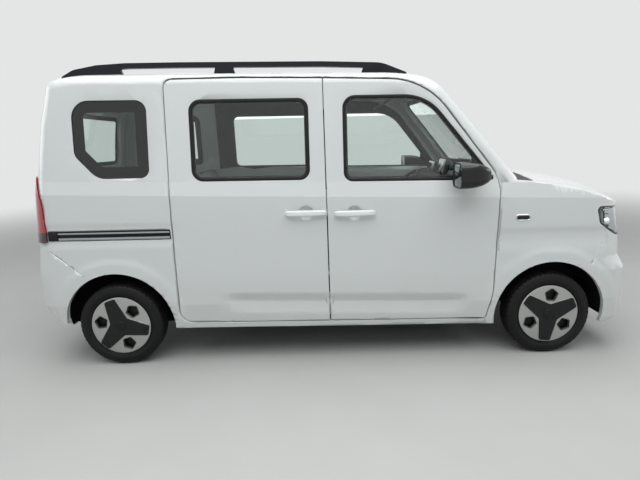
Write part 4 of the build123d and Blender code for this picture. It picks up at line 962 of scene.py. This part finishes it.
# Seats: moulded foam under dark woven cloth, still in clear film, on low painted steel boxes bolted to the
# floor. The front ones have headrests on two posts.
def seat_cloth():
    """Plain weave in charcoal, drawn 3 mm wide so that it shows, under a clear crinkled film that gives
    hard broken lights."""
    made = blank("cloth_woven_charcoal")
    where = {"Vector": add(made, "ShaderNodeTexCoord").outputs["Object"]}
    threads = [add(made, "ShaderNodeTexWave",
                   {"Scale": 105.0, "Distortion": 0.4, "bands_direction": direction}, where).outputs["Fac"]
               for direction in ("X", "Y", "Z")]
    first = add(made, "ShaderNodeMath", {"operation": "MULTIPLY"}, {0: threads[0], 1: threads[1]})
    weave = add(made, "ShaderNodeMath", {"operation": "ADD"}, {0: first.outputs[0], 1: threads[2]})
    tone = add(made, "ShaderNodeMix", {"data_type": "RGBA", 6: linear("1E2022"), 7: linear("34373A")},
               {0: first.outputs[0]})
    bump = add(made, "ShaderNodeBump", {"Strength": 0.3, "Distance": 0.0008}, {"Height": weave.outputs[0]})
    crinkle = add(made, "ShaderNodeTexNoise", {"Scale": 16.0, "Detail": 5.0, "Distortion": 1.2}, where)
    film = add(made, "ShaderNodeBump", {"Strength": 0.7, "Distance": 0.01},
               {"Height": crinkle.outputs["Fac"]})
    skin = add(made, "ShaderNodeBsdfPrincipled",
               {"Roughness": 0.85, "Sheen Weight": 0.25, "Coat Weight": 0.7, "Coat Roughness": 0.12},
               {"Base Color": tone.outputs[2], "Normal": bump.outputs["Normal"],
                "Coat Normal": film.outputs["Normal"]})
    add(made, "ShaderNodeOutputMaterial", links={"Surface": skin.outputs["BSDF"]})
    return made


cloth_charcoal = seat_cloth()


def evaluated_mesh(piece):
    """The piece's mesh with its modifiers worked in."""
    bpy.context.view_layer.update()
    return bpy.data.meshes.new_from_object(piece.evaluated_get(bpy.context.evaluated_depsgraph_get()))


def cushion_mesh(name, points, radii, y_span, voxel, swell, channels, width_seams):
    """A stuffed form: the side outline carried across, drawn in towards both ends by a quarter round,
    remeshed, blown up as cloth by at most the swell, and then pressed in along its channels and seams."""
    y_low, y_high = y_span
    share = np.sin(np.linspace(-1, 1, 25) * np.pi / 2)
    half, middle, end_round = (y_high - y_low) / 2 - swell * 0.6, (y_high + y_low) / 2, 0.045
    past = np.clip((np.abs(share) * half - (half - end_round)) / end_round, 0, 0.999)
    insets = swell * 0.7 + end_round * (1 - np.sqrt(1 - past ** 2)) * 0.8
    across = lengthways(middle, 1)
    rows = [across(rounded_path(points, radii, inset), s * half) for s, inset in zip(share, insets)]
    piece = loft(name, rows, cloth_charcoal, sharp=180)
    remesh = piece.modifiers.new("remesh", "REMESH")
    remesh.mode, remesh.voxel_size = "VOXEL", voxel
    mesh = evaluated_mesh(piece)
    piece.modifiers.clear()
    piece.data = mesh
    start = vectors(mesh.vertices, "co")
    cloth = piece.modifiers.new("cloth", "CLOTH")
    cloth.settings.use_pressure = True
    cloth.settings.uniform_pressure_force = 4.0
    cloth.settings.effector_weights.gravity = 0.0
    cloth.point_cache.frame_start, cloth.point_cache.frame_end = 1, 20
    for frame_number in range(1, 21):
        scene.frame_set(frame_number)
    move = vectors(evaluated_mesh(piece).vertices, "co") - start
    piece.modifiers.clear()
    scene.frame_set(1)
    length = np.linalg.norm(move, axis=1, keepdims=True)
    blown = start + move * np.minimum(1, swell / np.maximum(length, 1e-9))
    mesh.vertices.foreach_set("co", blown.ravel())
    mesh.update()
    divide = piece.modifiers.new("subdivide", "SUBSURF")
    divide.levels = divide.render_levels = 1
    mesh = evaluated_mesh(piece)
    piece.modifiers.clear()
    piece.data = mesh
    place, normals = vectors(mesh.vertices, "co"), vectors(mesh.vertices, "normal")
    channel_depth, seam_depth, depth = 0.006, 0.005, np.zeros(len(place))
    for start_point, end_point in channels:
        run = np.subtract(end_point, start_point)
        away = np.abs((place[:, 0] - start_point[0]) * run[1] - (place[:, 2] - start_point[1]) * run[0])
        away /= np.hypot(*run)
        within = np.abs(place[:, 1] - middle) < width_seams
        depth = np.maximum(depth, channel_depth * np.exp(-(away / channel_depth) ** 2) * within)
    for seam in (-width_seams, width_seams):
        away = place[:, 1] - middle - seam
        depth = np.maximum(depth, seam_depth * np.exp(-(away / seam_depth) ** 2))
    mesh.vertices.foreach_set("co", (place - normals * depth[:, None]).ravel())
    mesh.update()
    mesh.materials.clear()
    mesh.materials.append(cloth_charcoal)
    mesh.shade_smooth()
    return piece


def settled(piece, node):
    """Hides the node that a stuffed piece stands for, and makes the piece ride on the body."""
    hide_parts(node)
    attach(piece, "body")


def shifted_copy(piece, name, shift_y):
    """The same stuffed form at another seat."""
    mesh = piece.data.copy()
    mesh.vertices.foreach_set("co", (vectors(mesh.vertices, "co") + (0, shift_y, 0)).ravel())
    made = bpy.data.objects.new(name, mesh)
    scene.collection.objects.link(made)
    return made


seat_box_black = satin("paint_seat_box_black", "17181A", 0.5, grain=800.0)
for seat, x, y, width, top, node, voxel in (
        ("front_seat", -0.010, -0.370, 0.480, 1.290, "front_seats", 0.0105),
        ("rear_seat", -1.040, 0.0, 1.180, 1.350, "rear_bench", 0.013)):
    half = width / 2
    cushion = np.array([(0, 0.600), (0.480, 0.640), (0.505, 0.800), (0, 0.750)]) + (x, 0)
    back = np.array([(-0.010, 0.690), (0.110, 0.740), (-0.020, top), (-0.120, top - 0.020)]) + (x, 0)
    rest = np.array([(-0.130, -0.005), (-0.036, 0.015), (-0.045, 0.150), (-0.135, 0.140)]) + (x, top)
    box = np.array([(0.030, 0.3566), (0.420, 0.3566), (0.450, 0.630), (0.010, 0.612)]) + (x, 0)
    seam = half - 0.085 if seat == "front_seat" else 0.020
    lower_channels = [((x + d, 0.7), (x + d + 0.01, 0.9)) for d in (0.16, 0.25, 0.34)]
    back_channels = [((x - 0.2, z), (x + 0.3, z + 0.08)) for z in (0.90, 1.00, 1.10)]
    base = cushion_mesh(seat + "_cushion", cushion, mm(40, 40, 60, 40), (y - half, y + half), voxel, 0.012,
                        lower_channels, seam)
    rear = cushion_mesh(seat + "_back", back, mm(30, 50, 50, 45), (y - half + 0.01, y + half - 0.01), voxel,
                        0.012, back_channels, seam)
    pieces = [(base, 0.8), (rear, 0.8)]
    if seat == "front_seat":
        head = cushion_mesh(seat + "_headrest", rest, mm(20, 20, 35, 35), (y - 0.11, y + 0.11), 0.008, 0.008,
                            [], 0.2)
        pieces.append((head, 0.9))
    for piece, fill in pieces:
        settled(piece, node)
        if seat == "front_seat":
            settled(shifted_copy(piece, piece.name + "_left", -2 * y), node)
    for place_y, hand in (((y, "_right"), (-y, "_left")) if seat == "front_seat" else ((y, ""),)):
        made = plate_piece(seat + "_box" + hand, (box, mm(10, 10, 20, 20)),
                           np.array([(6, -1), (0, -0.98), (0, 0.98), (6, 1)]) * (0.001, half - 0.05),
                           lengthways(place_y, 1), seat_box_black, "body")
        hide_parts(node)
        if seat == "front_seat":
            for post_y, post in ((-0.055, "outer"), (0.055, "inner")):
                turned(f"seat_post{hand}_{post}", mm((6, -60), (6, 60)),
                       (x - 0.075, place_y + post_y, top - 0.01), (0, 0, 1), chrome, "body",
                       segments=16)


# Sun visors: thin padded boards in pale grey cloth, clipped to the roof's lining and folded a little down
# over each front seat.
visor_half, hinge_x, hinge_z, fall_x, fall_z = 0.08, 0.585, 1.895, 0.9, 0.42


def folded_down(y_middle):
    """Carries an outline onto a face that falls backwards from the visor's hinge line under the roof."""
    return lambda path, height: np.stack(
        [hinge_x - fall_x * (visor_half - path[:, 1]) - fall_z * height, y_middle + path[:, 0],
         hinge_z - fall_z * (visor_half - path[:, 1]) + fall_x * height], 1)


visor_cloth = satin("cloth_visor_grey", "8C8F8E", 0.8, grain=500.0, depth=0.4)
for side, hand in both_sides:
    visor = plate_piece("sun_visor_" + hand, box_outline((0, 0), 0.19, visor_half, 0.04),
                        mm((5, -8), (1.5, -6.5), (0, -2), (0, 2), (1.5, 6.5), (5, 8), (30, 9)),
                        folded_down(side * 0.37), visor_cloth, "body")
